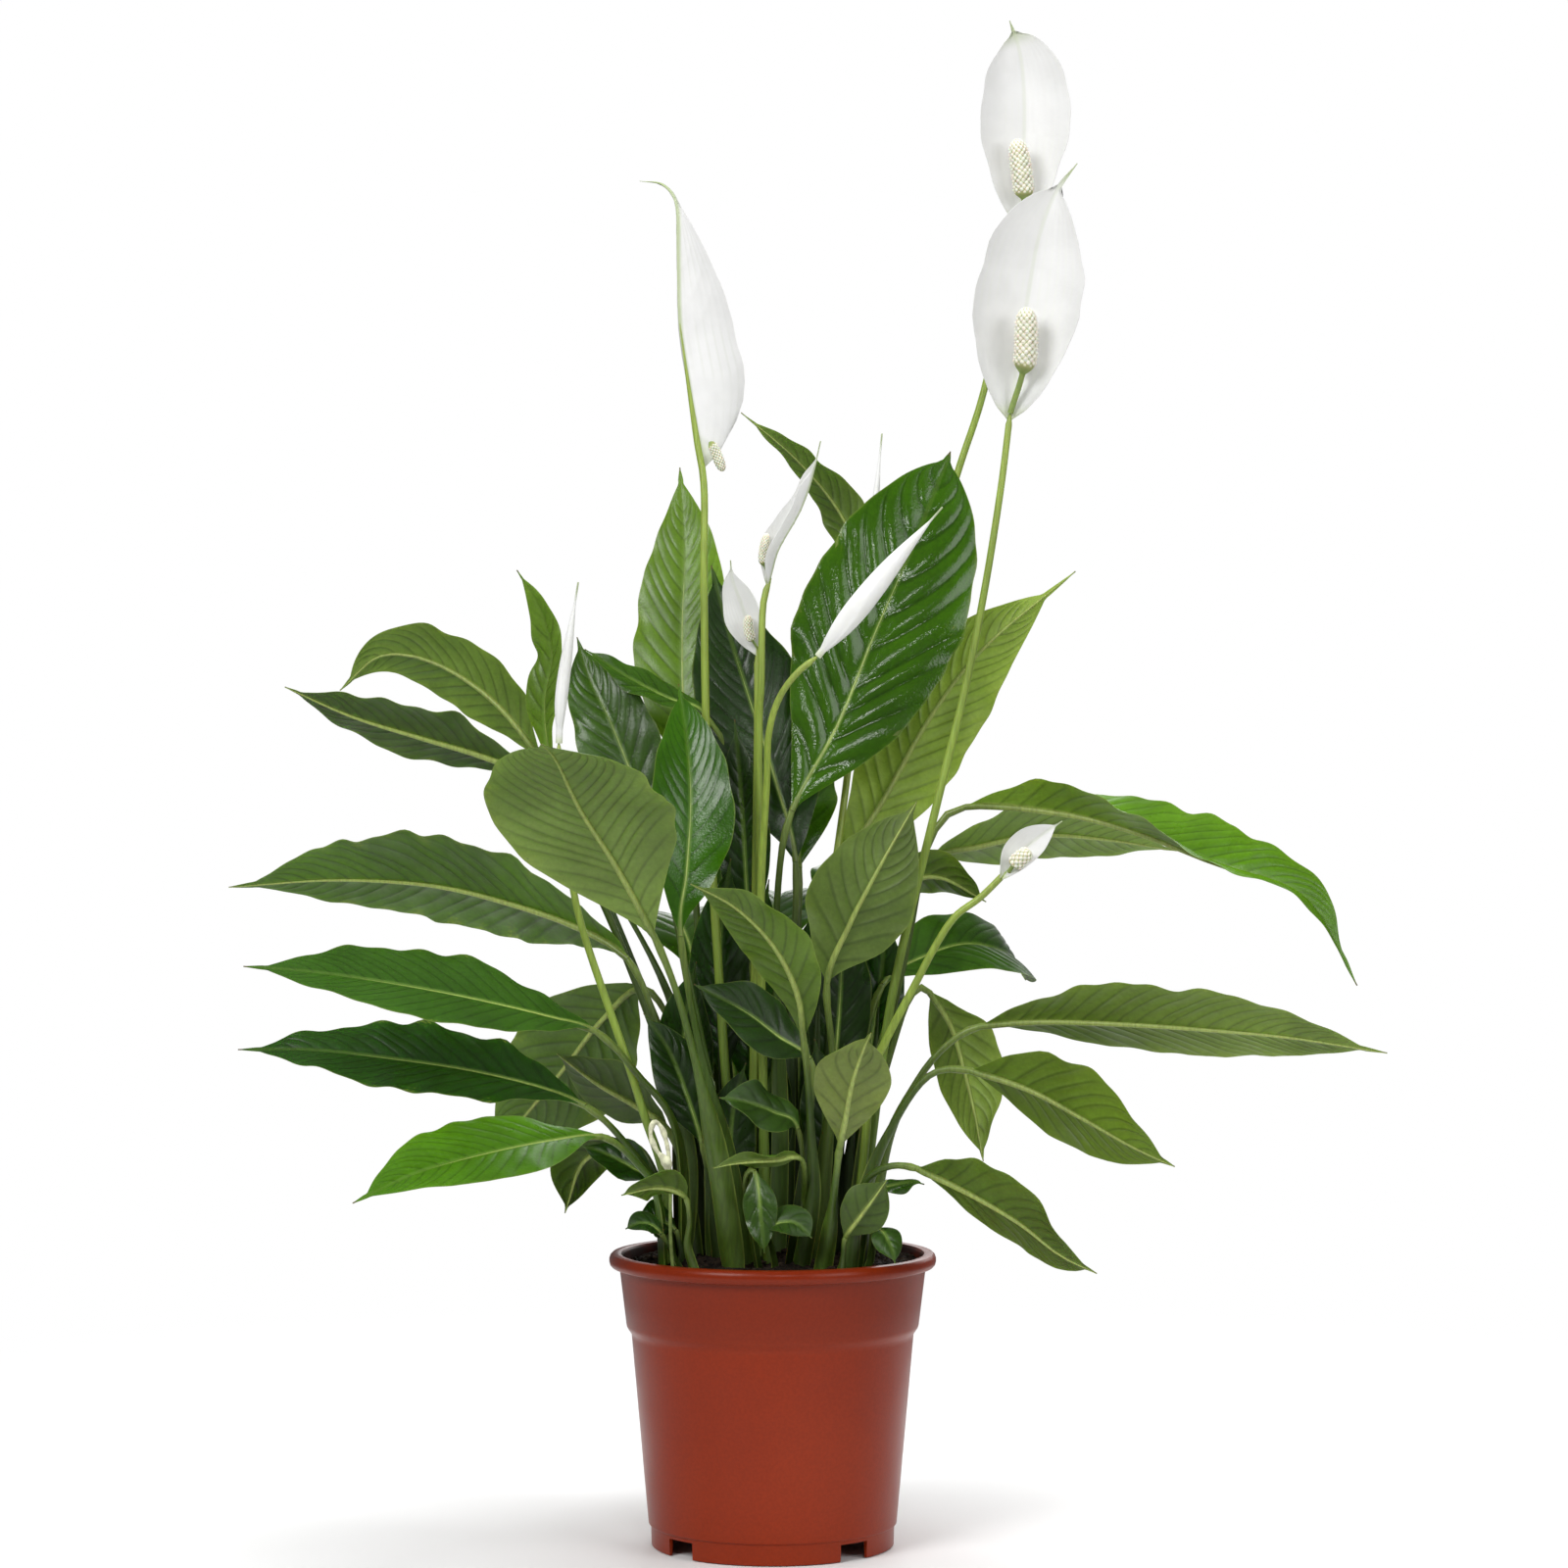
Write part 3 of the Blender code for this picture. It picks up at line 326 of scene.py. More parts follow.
# Shaded leaves among the stalks in the middle of the plant.
for number, (foot, stalk, blade, half) in enumerate((
    ((-20, 16), ((-24, 18, 200),), ((-26, 20, 240), (-28, 20, 280), (-27, 18, 320), (-22, 14, 356)), 17),
    ((-6, 20), ((-6, 22, 190),), ((-8, 24, 225), (-10, 24, 265), (-8, 22, 305), (-2, 18, 345)), 18),
    ((8, 24), ((10, 26, 180),), ((12, 28, 215), (14, 28, 255), (18, 24, 295), (24, 20, 334)), 18),
    ((22, 18), ((26, 20, 190),), ((30, 22, 225), (34, 22, 262), (36, 20, 300), (34, 16, 338)), 17),
    ((34, 26), ((40, 28, 200),), ((48, 32, 235), (54, 34, 270), (58, 34, 300), (60, 30, 328)), 15),
    ((-34, 14), ((-38, 16, 180),), ((-42, 18, 210), (-46, 18, 240), (-46, 16, 272), (-40, 12, 302)), 16),
    ((0, 10), ((0, 12, 162),), ((-2, 14, 185), (-4, 14, 210), (-2, 12, 236), (4, 8, 262)), 15),
    ((18, 6), ((21, 8, 165),), ((25, 10, 188), (27, 10, 213), (26, 8, 238), (22, 4, 262)), 13),
    ((-16, 2), ((-18, 4, 160),), ((-20, 4, 182), (-22, 2, 205), (-20, 0, 229), (-14, -4, 250)), 13),
), 1):
    extra_leaf(f"leaf_inner_{number}", foot, stalk, blade, half, (8, -95, 15), (-8, -95, 15), "deep",
         sheath=4)

# Each flower: the points of its stem, of its spathe and of its spadix, half the spathe's width, the
# way its hollow side faces, its fold, its spadix's radius, and what is special in its spathe's shape.
FLOWERS = (
    dict(name="top_flower",
         stem=((14, 42), (22, 48, 187), (38, 60, 317), (65, 72, 447), (98, 76, 558), (115, 76, 612),
               (133, 76, 700)),
         spathe=((133, 77, 700), (135, 82, 729), (136, 84, 762), (134, 84, 789), (128, 82, 808)),
         spadix=((133, 75, 700), (135, 70, 712), (131, 68, 742)),
         half=27, face=(0, -100, 10), fold=14, spadix_radius=5.6, widest=0.52, tip=0.55, reach=0.93, lobe=4),
    dict(name="lower_flower",
         stem=((42, -6), (49, -8, 192), (59, -10, 268), (68, -11, 314), (79, -12, 360), (90, -12, 405),
               (100, -12, 446), (110, -12, 497), (118, -12, 547), (123, -12, 587)),
         spathe=((123, -11, 587), (127, -6, 614), (132, -4, 645), (138, -4, 678), (147, -6, 702), (158, -8, 717)),
         spadix=((123, -13, 587), (130, -18, 612), (131, -20, 641)),
         half=31, face=(0, -100, 10), fold=14, spadix_radius=6.0, neck=0.43, widest=0.46, tip=0.75,
         reach=0.88, lobe=4),
    dict(name="left_flower",
         stem=((-18, 8), (-21, 9, 190), (-28, 10, 292), (-34, 10, 395), (-36, 12, 498), (-36, 16, 550),
               (-40, 20, 576), (-45, 20, 609), (-49, 20, 637)), taper=0.84,
         spathe=((-40, 20, 576), (-45, 20, 609), (-49, 20, 637), (-50, 20, 673), (-51, 20, 699), (-58, 20, 710),
                 (-70, 20, 712)),
         spadix=((-39, 22, 577), (-32, 24, 573), (-26, 26, 560)),
         half=37, face=(50, 85, 0), fold=52, spadix_radius=2.8, widest=0.26, tip=1.15, reach=0.86, lobe=16,
         ripple=0.3),
    dict(name="middle_flower",
         stem=((-5, -3), (-5, -1, 243), (-7, -2, 344), (-7, -5, 426), (-6, -8, 446), (-5, -8, 487),
               (-1, -8, 502)),
         spathe=((-1, -8, 502), (3, -8, 517), (14, -8, 537), (21, -8, 556), (25, -8, 573)),
         spadix=((-2, -9, 503), (-5, -10, 512), (-3, -11, 525)),
         half=10, face=(-90, -40, 0), fold=46, spadix_radius=2.4, widest=0.32, tip=1.3),
    dict(name="little_flower",
         stem=((-12, 11), (-10, 10, 242), (-9, 9, 344), (-8, 6, 426), (-8, 5, 466)),
         spathe=((-8, 5, 466), (-12, 6, 477), (-17, 7, 491), (-21, 7, 502), (-22, 7, 512)),
         spadix=((-8, 4, 466), (-12, 0, 473), (-13, -1, 483)),
         half=11, face=(-30, -95, 0), fold=14, spadix_radius=2.6),
    dict(name="right_flower",
         stem=((36, -16), (46, -16, 192), (51, -18, 243), (59, -20, 264), (72, -22, 289), (84, -24, 312),
               (94, -26, 327), (107, -28, 337), (120, -30, 350)),
         spathe=((120, -30, 350), (127, -26, 359), (136, -25, 367), (149, -26, 376)),
         spadix=((121, -31, 350), (125, -34, 355), (132, -36, 361)),
         half=10, face=(0, -95, 30), fold=14, spadix_radius=4.2),
)

# Each unopened flower: the points of its stem and of its rolled-up spathe, and the bud's radius.
BUDS = (
    dict(name="front_bud",
         stem=((-2, -15), (-5, -16, 244), (-6, -27, 332), (-3, -36, 395), (-2, -40, 420), (3, -44, 438),
               (12, -48, 451), (23, -50, 460)),
         bud=((23, -50, 460), (41, -54, 482), (63, -58, 509), (86, -62, 535)), radius=6.5),
    dict(name="left_bud",
         stem=((-52, -12), (-56, -14, 190), (-66, -16, 223), (-75, -18, 252), (-96, -22, 314), (-103, -24, 343),
               (-109, -24, 380), (-110, -24, 416)),
         bud=((-110, -24, 416), (-109, -24, 438), (-105, -24, 468), (-100, -24, 499)), radius=3.6),
    dict(name="back_bud",
         stem=((16, 20), (26, 27, 292), (39, 46, 395), (49, 62, 478), (51, 68, 495)),
         bud=((51, 68, 495), (54, 74, 522), (56, 80, 554), (59, 86, 585)), radius=2.8),
)

WITHERED_STEM = ((-50, -40), (-52, -42, 165), (-52, -43, 190), (-53, -44, 207), (-56, -45, 219), (-60, -47, 223),
                 (-62, -48, 217), (-59, -49, 209), (-54, -49, 203), (-53, -49, 198))


# ---------------------------------------------------------------------------------------------- curves


class Path:
    """A smooth curve through a few points, read by its length."""

    def __init__(self, points):
        points = np.array(points, float)
        ends = np.vstack([2 * points[0] - points[1], points, 2 * points[-1] - points[-2]])
        t = np.linspace(0, 1, SPAN_SAMPLES, endpoint=False)[:, None]
        spans = [
            0.5 * (2 * b + (c - a) * t + (2 * a - 5 * b + 4 * c - d) * t**2 + (3 * b - a - 3 * c + d) * t**3)
            for a, b, c, d in zip(ends, ends[1:], ends[2:], ends[3:])
        ]
        self.points = np.vstack([*spans, points[-1:]])
        steps = np.linalg.norm(np.diff(self.points, axis=0), axis=1)
        self.lengths = np.concatenate([[0.0], np.cumsum(steps)])
        self.length = self.lengths[-1]

    def length_at(self, point):
        return self.lengths[point * SPAN_SAMPLES]

    def at(self, s):
        return np.stack([np.interp(s, self.lengths, self.points[:, k]) for k in range(3)], axis=-1)

    def direction(self, s):
        step = 0.012 * self.length
        return unit(self.at(s + step) - self.at(s - step))


def unit(vectors):
    return vectors / np.maximum(np.linalg.norm(vectors, axis=-1, keepdims=True), 1e-9)


def square_to(vectors, along):
    """The unit part of each vector that is square to a direction."""
    return unit(vectors - np.sum(vectors * along, axis=-1, keepdims=True) * along)


def ease(x):
    x = np.clip(x, 0.0, 1.0)
    return x * x * (3.0 - 2.0 * x)


def between(x, low, high):
    """0 below low, 1 above high, and a smooth rise in between."""
    return ease((x - low) / (high - low))


# ---------------------------------------------------------------------------------------------- meshes

VALUES = ("along", "across", "vein", "from_rib", "upper", "run", "height", "rough")


class Piece:
    """Closed surfaces gathered into one object, with named values at their points for the materials."""

    def __init__(self, name):
        self.name = name
        self.points = []
        self.faces = []
        self.slots = []
        self.values = {key: [] for key in VALUES}
        self.tones = {}
        self.count = 0

    def add(self, points, faces, slot=0, **values):
        points = np.asarray(points, float).reshape(-1, 3)
        self.points.append(points)
        self.faces += [tuple(int(k) + self.count for k in face) for face in faces]
        self.slots += [slot] * len(faces)
        for key in VALUES:
            value = values.get(key, 0.0)
            self.values[key].append(np.broadcast_to(np.asarray(value, float).reshape(-1), (len(points),)))
        self.count += len(points)

    def build(self, materials, nodes, sharp=55):
        mesh = bpy.data.meshes.new(self.name)
        mesh.from_pydata((np.vstack(self.points) * MM).tolist(), [], self.faces)
        for material in materials:
            mesh.materials.append(material)
        mesh.polygons.foreach_set("material_index", self.slots)
        for key in VALUES:
            value = np.concatenate(self.values[key])
            if value.any():
                mesh.attributes.new(key, "FLOAT", "POINT").data.foreach_set("value", value)
        for key, colour in self.tones.items():
            colours = np.tile([*colour, 1.0], self.count)
            mesh.attributes.new(key, "FLOAT_COLOR", "POINT").data.foreach_set("color", colours)
        mesh.shade_smooth()
        mesh.set_sharp_from_angle(angle=math.radians(sharp))
        mesh.validate()
        made = bpy.data.objects.new(self.name, mesh)
        bpy.context.scene.collection.objects.link(made)
        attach(made, "root")
        if nodes:
            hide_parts(*nodes)
        return made


def sheet_faces(rows, columns):
    """Faces of a sheet with two sides, its upper side's points listed before its underside's."""
    under = rows * columns
    i, j = np.meshgrid(np.arange(rows - 1), np.arange(columns - 1), indexing="ij")
    a = (i * columns + j).reshape(-1)
    upper = np.stack([a, a + 1, a + columns + 1, a + columns], axis=1)
    faces = [upper, upper[:, ::-1] + under]
    i = np.arange(rows - 1)
    right = i * columns + columns - 1
    faces.append(np.stack([right, right + under, right + under + columns, right + columns], axis=1))
    left = i * columns
    faces.append(np.stack([left, left + columns, left + under + columns, left + under], axis=1))
    j = np.arange(columns - 1)
    faces.append(np.stack([j, j + under, j + under + 1, j + 1], axis=1))
    last = (rows - 1) * columns + j
    faces.append(np.stack([last, last + 1, last + under + 1, last + under], axis=1))
    return np.vstack(faces).tolist()


def tube_faces(rings, sides):
    """Faces of a closed tube, ring after ring, with a flat face over each end."""
    i, k = np.meshgrid(np.arange(rings - 1), np.arange(sides), indexing="ij")
    a = (i * sides + k).reshape(-1)
    b = (i * sides + (k + 1) % sides).reshape(-1)
    faces = np.stack([a, a + sides, b + sides, b], axis=1).tolist()
    faces.append(list(range(sides)))
    faces.append(list(range((rings - 1) * sides, rings * sides))[::-1])
    return faces


def tube(centres, across, up, radii, section=None):
    """A tube's points: rings round the centres, with a radius for each ring or for each point of it, or
    the section's own rings."""
    if radii.ndim == 1:
        radii = np.repeat(radii[:, None], STALK_SIDES, axis=1)
    turns = round_turns(radii.shape[1])
    x = np.cos(turns) * radii
    y = np.sin(turns) * radii
    if section is not None:
        x, y = section(turns[None, :], x, y)
    return centres[:, None] + across[:, None] * x[..., None] + up[:, None] * y[..., None]


def round_turns(sides):
    return 2 * np.pi * np.arange(sides) / sides


def carried_up(path, lengths, up):
    """Directions square to a path, each as close as can be to the one after it, which ends at up."""
    along = path.direction(lengths)
    ups = np.empty_like(along)
    current = np.asarray(up, float)
    for k in range(len(lengths) - 1, -1, -1):
        current = square_to(current, along[k])
        ups[k] = current
    return np.cross(along, ups), ups


def spine(path, share, up):
    """A path's points at shares of its length, with the directions across and up there."""
    lengths = path.length * share
    return path.at(lengths), *carried_up(path, lengths, up)


# ---------------------------------------------------------------------------------------------- leaves


def outline(t, shape):
    """A blade's width from its base to its drip tip, as a share of its widest."""
    widest, reach = shape["widest"], shape["reach"]
    rise = np.sin(np.pi / 2 * np.clip(t / widest, 0, 1)) ** shape["base"]
    beyond = np.clip((t - widest) / (reach - widest), 0, 1)
    fall = (1 - beyond**2.1) ** shape["tip"]
    drip = 0.055 * between(t, widest, reach) * np.clip((1 - t) / (1 - reach), 0, 1) ** 0.8
    return np.where(t < widest, rise, np.maximum(fall, drip))


def vein_rows(count, rng):
    """Each row's place from base (0) to tip (1), and its place from one side vein (0) to the next (1)."""
    gaps = rng.uniform(0.75, 1.25, count)
    edges = np.concatenate([[0.0], np.cumsum(gaps) / gaps.sum()])
    rows = [(low + (high - low) * share, share) for low, high in zip(edges, edges[1:]) for share in VEIN_STEPS]
    rows.append((1.0, 0.0))
    return np.array(rows).T


def blade_columns():
    half = (np.arange(1, HALF_COLUMNS + 1) / HALF_COLUMNS) ** 0.92
    return np.concatenate([-half[::-1], [0.0], half])


def blade(path, start, shape, rng):
    """A blade's middle surface as a grid of points, with the values at each."""
    length = path.length - start
    count = shape.get("veins") or max(5, round(length / VEIN_GAP))
    place, phase = vein_rows(count, rng)
    u = blade_columns()[None, :]
    place = place[:, None]
    phase = phase[:, None] + 0 * u
    sweep = np.clip(1.7 * shape["half"] / length, 0.10, 0.34)
    t = place + sweep * np.abs(u) ** 1.15 * 4 * place * (1 - place) * (1 - 0.35 * place)
    s = start + length * t
    along = path.direction(s)
    ups = unit(np.array(shape["up_joint"], float)), unit(np.array(shape["up_tip"], float))
    up = square_to(ups[0] + (ups[1] - ups[0]) * t[..., None] ** shape["turn"], along)
    across = np.cross(along, up)

    width = shape["half"] * outline(t, shape)
    width = np.maximum(width, 1.1 - 0.75 * t)
    fold, curl = math.radians(shape["fold"]), math.radians(shape["curl"])
    bend = fold + curl * np.abs(u)
    x = width * (np.sin(bend) - np.sin(fold)) / curl * np.sign(u)
    y = width * (np.cos(fold) - np.cos(bend)) / curl

    ends = np.sin(np.pi * np.clip(t / shape["reach"], 0, 1)) ** 0.6
    waves = 0
    for waves_along in (0.016 * length, 0.029 * length, 0.047 * length):
        turn = rng.uniform(0, 2 * np.pi, 2)
        waves = waves + np.sin(2 * np.pi * waves_along * t + np.where(u > 0, turn[0], turn[1])) / waves_along**0.4
    y = y + shape["ripple"] * waves * np.abs(u) ** 2.2 * ends
    x = x * (1 + 0.03 * waves * np.abs(u) ** 4 * ends)

    gap = np.gradient(t, axis=0) / np.gradient(place, axis=0) * length / count
    clear = between(gap, 1.5, 4.5) * between(width, 2.5, 9)
    quilt = np.sin(np.pi * phase) ** 0.8 - 0.6
    inner = between(np.abs(u), 0.03, 0.2) * (1 - 0.85 * np.abs(u) ** 3)
    y = y + shape["pucker"] * quilt * inner * ends * clear
    y = y - 0.6 * np.exp(-((np.abs(x) / 1.5) ** 2)) * ends * between(width, 1.5, 6)

    points = path.at(s) + across * x[..., None] + up * y[..., None]
    normal = unit(np.cross(np.gradient(points, axis=1), np.gradient(points, axis=0)))
    facing = np.sum(normal * up, axis=-1, keepdims=True)
    normal = np.where(np.abs(facing) < 0.05, up, normal * np.sign(facing))
    sure = between(width, 2.0, 6.0)[..., None]
    normal = unit(normal * sure + up * (1 - sure))
    vein = 1 - (1 - 2 * np.minimum(phase, 1 - phase)) * clear
    rough = shape["rough"] + 0 * t
    return points, normal, dict(along=t, across=u + 0 * t, vein=vein, from_rib=np.abs(x), rough=rough)


def add_blade(piece, surface, thickness):
    """Gives a blade's middle surface its two sides."""
    points, normal, values = surface
    rows, columns = points.shape[:2]
    skin = thickness / 2 * (1 - 0.55 * np.abs(values["across"]) ** 4)[..., None]
    ridge = 0.14 * np.exp(-((values["vein"] / 0.14) ** 2)) * (1 - values["across"] ** 2)
    under = points - normal * (skin + ridge[..., None])
    both = np.stack([points + normal * skin, under])
    doubled = {key: np.stack([value, value]) for key, value in values.items()}
    sides = np.stack([np.ones((rows, columns)), np.zeros((rows, columns))])
    piece.add(both, sheet_faces(rows, columns), 0, upper=sides, **doubled)


def stalk_section(share, sheath):
    """Rings that go from a broad winged sheath low on the stalk to a grooved round stalk above."""
    wide = (1 - between(share, 0.36, 0.66))[:, None] * (0.6 + 0.4 * between(share, 0.0, 0.12))[:, None]

    def section(turn, x, y):
        reach = sheath * (1 - 0.35 * share)[:, None]
        flat_x = reach * np.cos(turn)
        lift = 0.42 * reach * np.cos(turn) ** 2
        thick = np.where(np.sin(turn) > 0, 0.25, 1.0) * (0.7 + 1.7 * np.sin(turn) ** 2)
        flat_y = lift + thick * np.sin(turn)
        groove = np.where(np.sin(turn) > 0, 0.30 * np.sin(turn) ** 5, 0)
        return x + (flat_x - x) * wide, y * (1 - groove) + (flat_y - y * (1 - groove)) * wide

    return section


def add_stalk(piece, path, joint, shape):
    """The stalk, from under the soil to the joint."""
    share = np.linspace(0, 1, STALK_RINGS)
    lengths = joint * share
    across, up = carried_up(path, lengths, unit(np.array(shape["up_joint"], float)))
    radii = 2.7 - 1.15 * share + 0.45 * np.exp(-(((share - 0.955) / 0.035) ** 2))
    if shape["half"] < SMALL_LEAF:
        radii = radii * SMALL_LEAF_SHARE
    points = tube(path.at(lengths), across, up, radii, stalk_section(share, shape["sheath"]))
    turns = np.arange(STALK_SIDES) / STALK_SIDES
    edge = np.abs(np.cos(2 * np.pi * turns))[None, :] ** 6 * (1 - between(share, 0.4, 0.65))[:, None]
    piece.add(points, tube_faces(STALK_RINGS, STALK_SIDES), 1,
              run=np.repeat(share, STALK_SIDES), height=edge)


def add_rib(piece, shape, surface):
    """The midrib under the blade, which carries on from the stalk and thins out to the tip."""
    points, normal, values = surface
    middle = HALF_COLUMNS
    keep = np.linspace(0, len(points) - 1, RIB_RINGS).round().astype(int)
    spine, up = points[keep, middle], normal[keep, middle]
    t = values["along"][keep, middle]
    radii = (1.55 * (1 - t) ** 0.8 + 0.16) * (SMALL_LEAF_SHARE if shape["half"] < SMALL_LEAF else 1.0)
    centres = spine - up * ((radii * 0.55 + 0.1) * between(t, 0.0, 0.05))[:, None]
    along = unit(np.gradient(centres, axis=0))
    up = square_to(up, along)
    rings = tube(centres, np.cross(along, up), up, radii)
    piece.add(rings, tube_faces(RIB_RINGS, STALK_SIDES), 1, run=np.repeat(1 + t, STALK_SIDES))


def tinted(colour, rng, spread=0.10):
    """A leaf's own shade of a colour."""
    tint = 1 + rng.uniform(-spread, spread)
    warm = rng.uniform(-spread, spread)
    return tuple(np.array(colour) * tint * np.array((1 + warm, 1 + 0.3 * warm, 1 - 0.5 * warm)))


def make_old_stalks(materials):
    """Bare stalks and sheaths left by old leaves, crowded between the others, in a near-black tone: painted shade
    among the stalks.
    """
    rng = np.random.default_rng(OLD_STALK_SEED)
    piece = Piece("lily_old_stalks")
    leftmost, rightmost, count, front, depth = -46, 48, 26, 8, 26
    for x in np.linspace(leftmost, rightmost, count):
        y = front + depth * rng.uniform(0, 1) + 0.1 * abs(x)
        top = SOIL_TOP + rng.uniform(60, 150)
        lean = rng.uniform(0.1, 0.3) * x, rng.uniform(-8, 8)
        points = ((x, y, SOIL_TOP - BURIED), (x + 0.4 * lean[0], y + 0.4 * lean[1], (SOIL_TOP + top) / 2),
                  (x + lean[0], y + lean[1], top))
        share = np.linspace(0, 1, STALK_RINGS)
        turn = rng.uniform(-0.6, 0.6)
        along = spine(Path(points), share, (math.sin(turn), -math.cos(turn), 0.0))
        radii = 2.4 - 1.9 * share**3
        rings = tube(*along, radii, stalk_section(0.9 * share, rng.uniform(4.5, 6.5)))
        piece.add(rings, tube_faces(STALK_RINGS, STALK_SIDES), 0, run=np.repeat(0.7 * share, STALK_SIDES))
    piece.tones = {"tone_stalk": OLD_STALK_SHADE_TONE}
    piece.build([materials[1]], [])


def make_leaf(number, shape, materials):
    """A leaf's piece: its blade, its midrib and its stalk, in the leaf's own shades."""
    rng = np.random.default_rng(LEAF_SEED + number)
    path = Path(shape["path"])
    joint = path.length_at(shape["joint"])
    piece = Piece("lily_" + shape["name"])
    surface = blade(path, joint, shape, rng)
    add_blade(piece, surface, BLADE_THICKNESS)
    add_stalk(piece, path, joint, shape)
    add_rib(piece, shape, surface)
    look = shape["look"]
    piece.tones = {
        "tone_upper": tinted(shape.get("upper", look["upper"]), rng),
        "tone_under": tinted(shape.get("under", look["under"]), rng),
        "tone_stalk": tinted(look["stalk"], rng),
    }
    piece.build(materials, [shape["name"]] if shape["in_cad"] else [])


# ---------------------------------------------------------------------------------------------- flowers


def add_stem(piece, points, top_radius, taper=0.995):
    """A flower's stem, from under the soil, narrowing beyond the share of its length given as taper."""
    path = Path(((*points[0], SOIL_TOP - BURIED), *points[1:]))
    rings = 8 * len(points)
    share = np.linspace(0, 1, rings)
    radii = top_radius * (1.45 - 0.5 * share) + 1.5 * np.exp(-((share / 0.05) ** 2))
    radii = radii * (1 - 0.7 * between(share, taper, 1.0))
    rings_round = tube(*spine(path, share, (0.0, -1.0, 0.15)), radii)
    piece.add(rings_round, tube_faces(rings, STALK_SIDES), 0, run=np.repeat(share, STALK_SIDES))


def spathe_surface(flower, rng):
    """A spathe: broad and a little heart-shaped at its foot, cupped, with a fine green tip."""
    shape = dict(SHAPE, half=flower["half"], up_joint=flower["face"], up_tip=flower["face"],
                 fold=flower["fold"], curl=26, ripple=flower.get("ripple", 0.9), pucker=0.0, veins=8,
                 widest=flower.get("widest", 0.42), base=0.55, tip=flower.get("tip", 1.0),
                 reach=flower.get("reach", 0.9))
    path = Path(flower["spathe"])
    points, normal, values = blade(path, 0.0, shape, rng)
    u, t = values["across"], values["along"]
    lobe = flower.get("lobe", 5.0) * np.sin(np.pi * np.clip(np.abs(u), 0, 1) * 0.8) * (1 - t) ** 3
    points = points - path.direction(path.length * t) * lobe[..., None]
    return points, normal, values


def add_spadix(piece, flower):
    """The spadix: a green neck, then a blunt column set with small round florets."""
    path = Path(flower["spadix"])
    rings, sides = 90, 60
    share = np.linspace(0, 1, rings)
    neck = flower.get("neck", 0.30)
    radius = flower["spadix_radius"]
    beyond = np.clip((share - neck) / (1 - neck), 0, 1)
    body = radius * np.sqrt(np.maximum(1 - beyond**7, 0.0)) * between(share, neck - 0.10, neck + 0.04)
    radii = np.maximum(body, np.where(share < 0.6, 0.30 * radius, 0.12 * radius))
    turns = round_turns(sides)
    around = max(8, round(radius * 1.7))
    rows = path.length * (1 - neck) / (2 * np.pi * radius / around * 0.9)
    phase = np.pi * rows * beyond[:, None]
    florets = np.abs(np.cos(phase + around * turns[None] / 2) * np.cos(phase - around * turns[None] / 2))
    bumps = florets**0.8 * between(share, neck, neck + 0.08)[:, None]
    r = radii[:, None] * (1 + 0.24 * (bumps - 0.6) * (beyond[:, None] < 0.985))
    points = tube(*spine(path, share, (0.0, -1.0, 0.1)), r)
    run = np.repeat(between(share, neck - 0.04, neck + 0.06), sides)
    piece.add(points, tube_faces(rings, sides), 0, run=run, height=bumps)


def make_stem(name, points, radius, rng, material, **shape):
    """The stem of a flower or a bud, as a piece."""
    stem = Piece("lily_" + name + "_stem")
    add_stem(stem, points, radius, **shape)
    stem.tones = {"tone_stalk": tinted(STEM_TONE, rng, 0.05)}
    stem.build([material], [name + "_stem"])


def make_flower(number, flower, materials):
    rng = np.random.default_rng(FLOWER_SEED + number)
    name = flower["name"]
    make_stem(name, flower["stem"], FLOWER_STEM_RADIUS, rng, materials["stem"], taper=flower.get("taper", 0.995))
    spathe = Piece("lily_" + name + "_spathe")
    add_blade(spathe, spathe_surface(flower, rng), SPATHE_THICKNESS)
    spathe.build([materials["spathe"]], [name + "_spathe"])
    spadix = Piece("lily_" + name + "_spadix")
    add_spadix(spadix, flower)
    spadix.build([materials["spadix"]], [name + "_spadix"])


def make_bud(number, bud, materials):
    """An unopened flower: a rolled-up spathe with its free edge winding up it."""
    rng = np.random.default_rng(BUD_SEED + number)
    make_stem(bud["name"], bud["stem"], BUD_STEM_RADIUS, rng, materials["stem"])
    rings, sides = 48, 40
    share = np.linspace(0, 1, rings)
    least = np.where(share < 0.3, 1.7, 0.45 + 0.9 * (1 - share))
    shape = dict(widest=0.34, base=0.8, tip=1.5, reach=0.97)
    radii = np.maximum(bud["radius"] * 0.92 * outline(share, shape), least)
    seam = 0.6 + 2.2 * share[:, None]
    wound = np.mod(round_turns(sides) - seam, 2 * np.pi) / (2 * np.pi)
    points = tube(*spine(Path(bud["bud"]), share, (0.0, -1.0, 0.1)), radii[:, None] * (0.93 + 0.16 * wound))
    piece = Piece("lily_" + bud["name"])
    piece.add(points, tube_faces(rings, sides), 0,
              along=np.repeat(share, sides), across=0.5 + 0 * wound, from_rib=9.0)
    piece.build([materials["spathe"]], [bud["name"]])


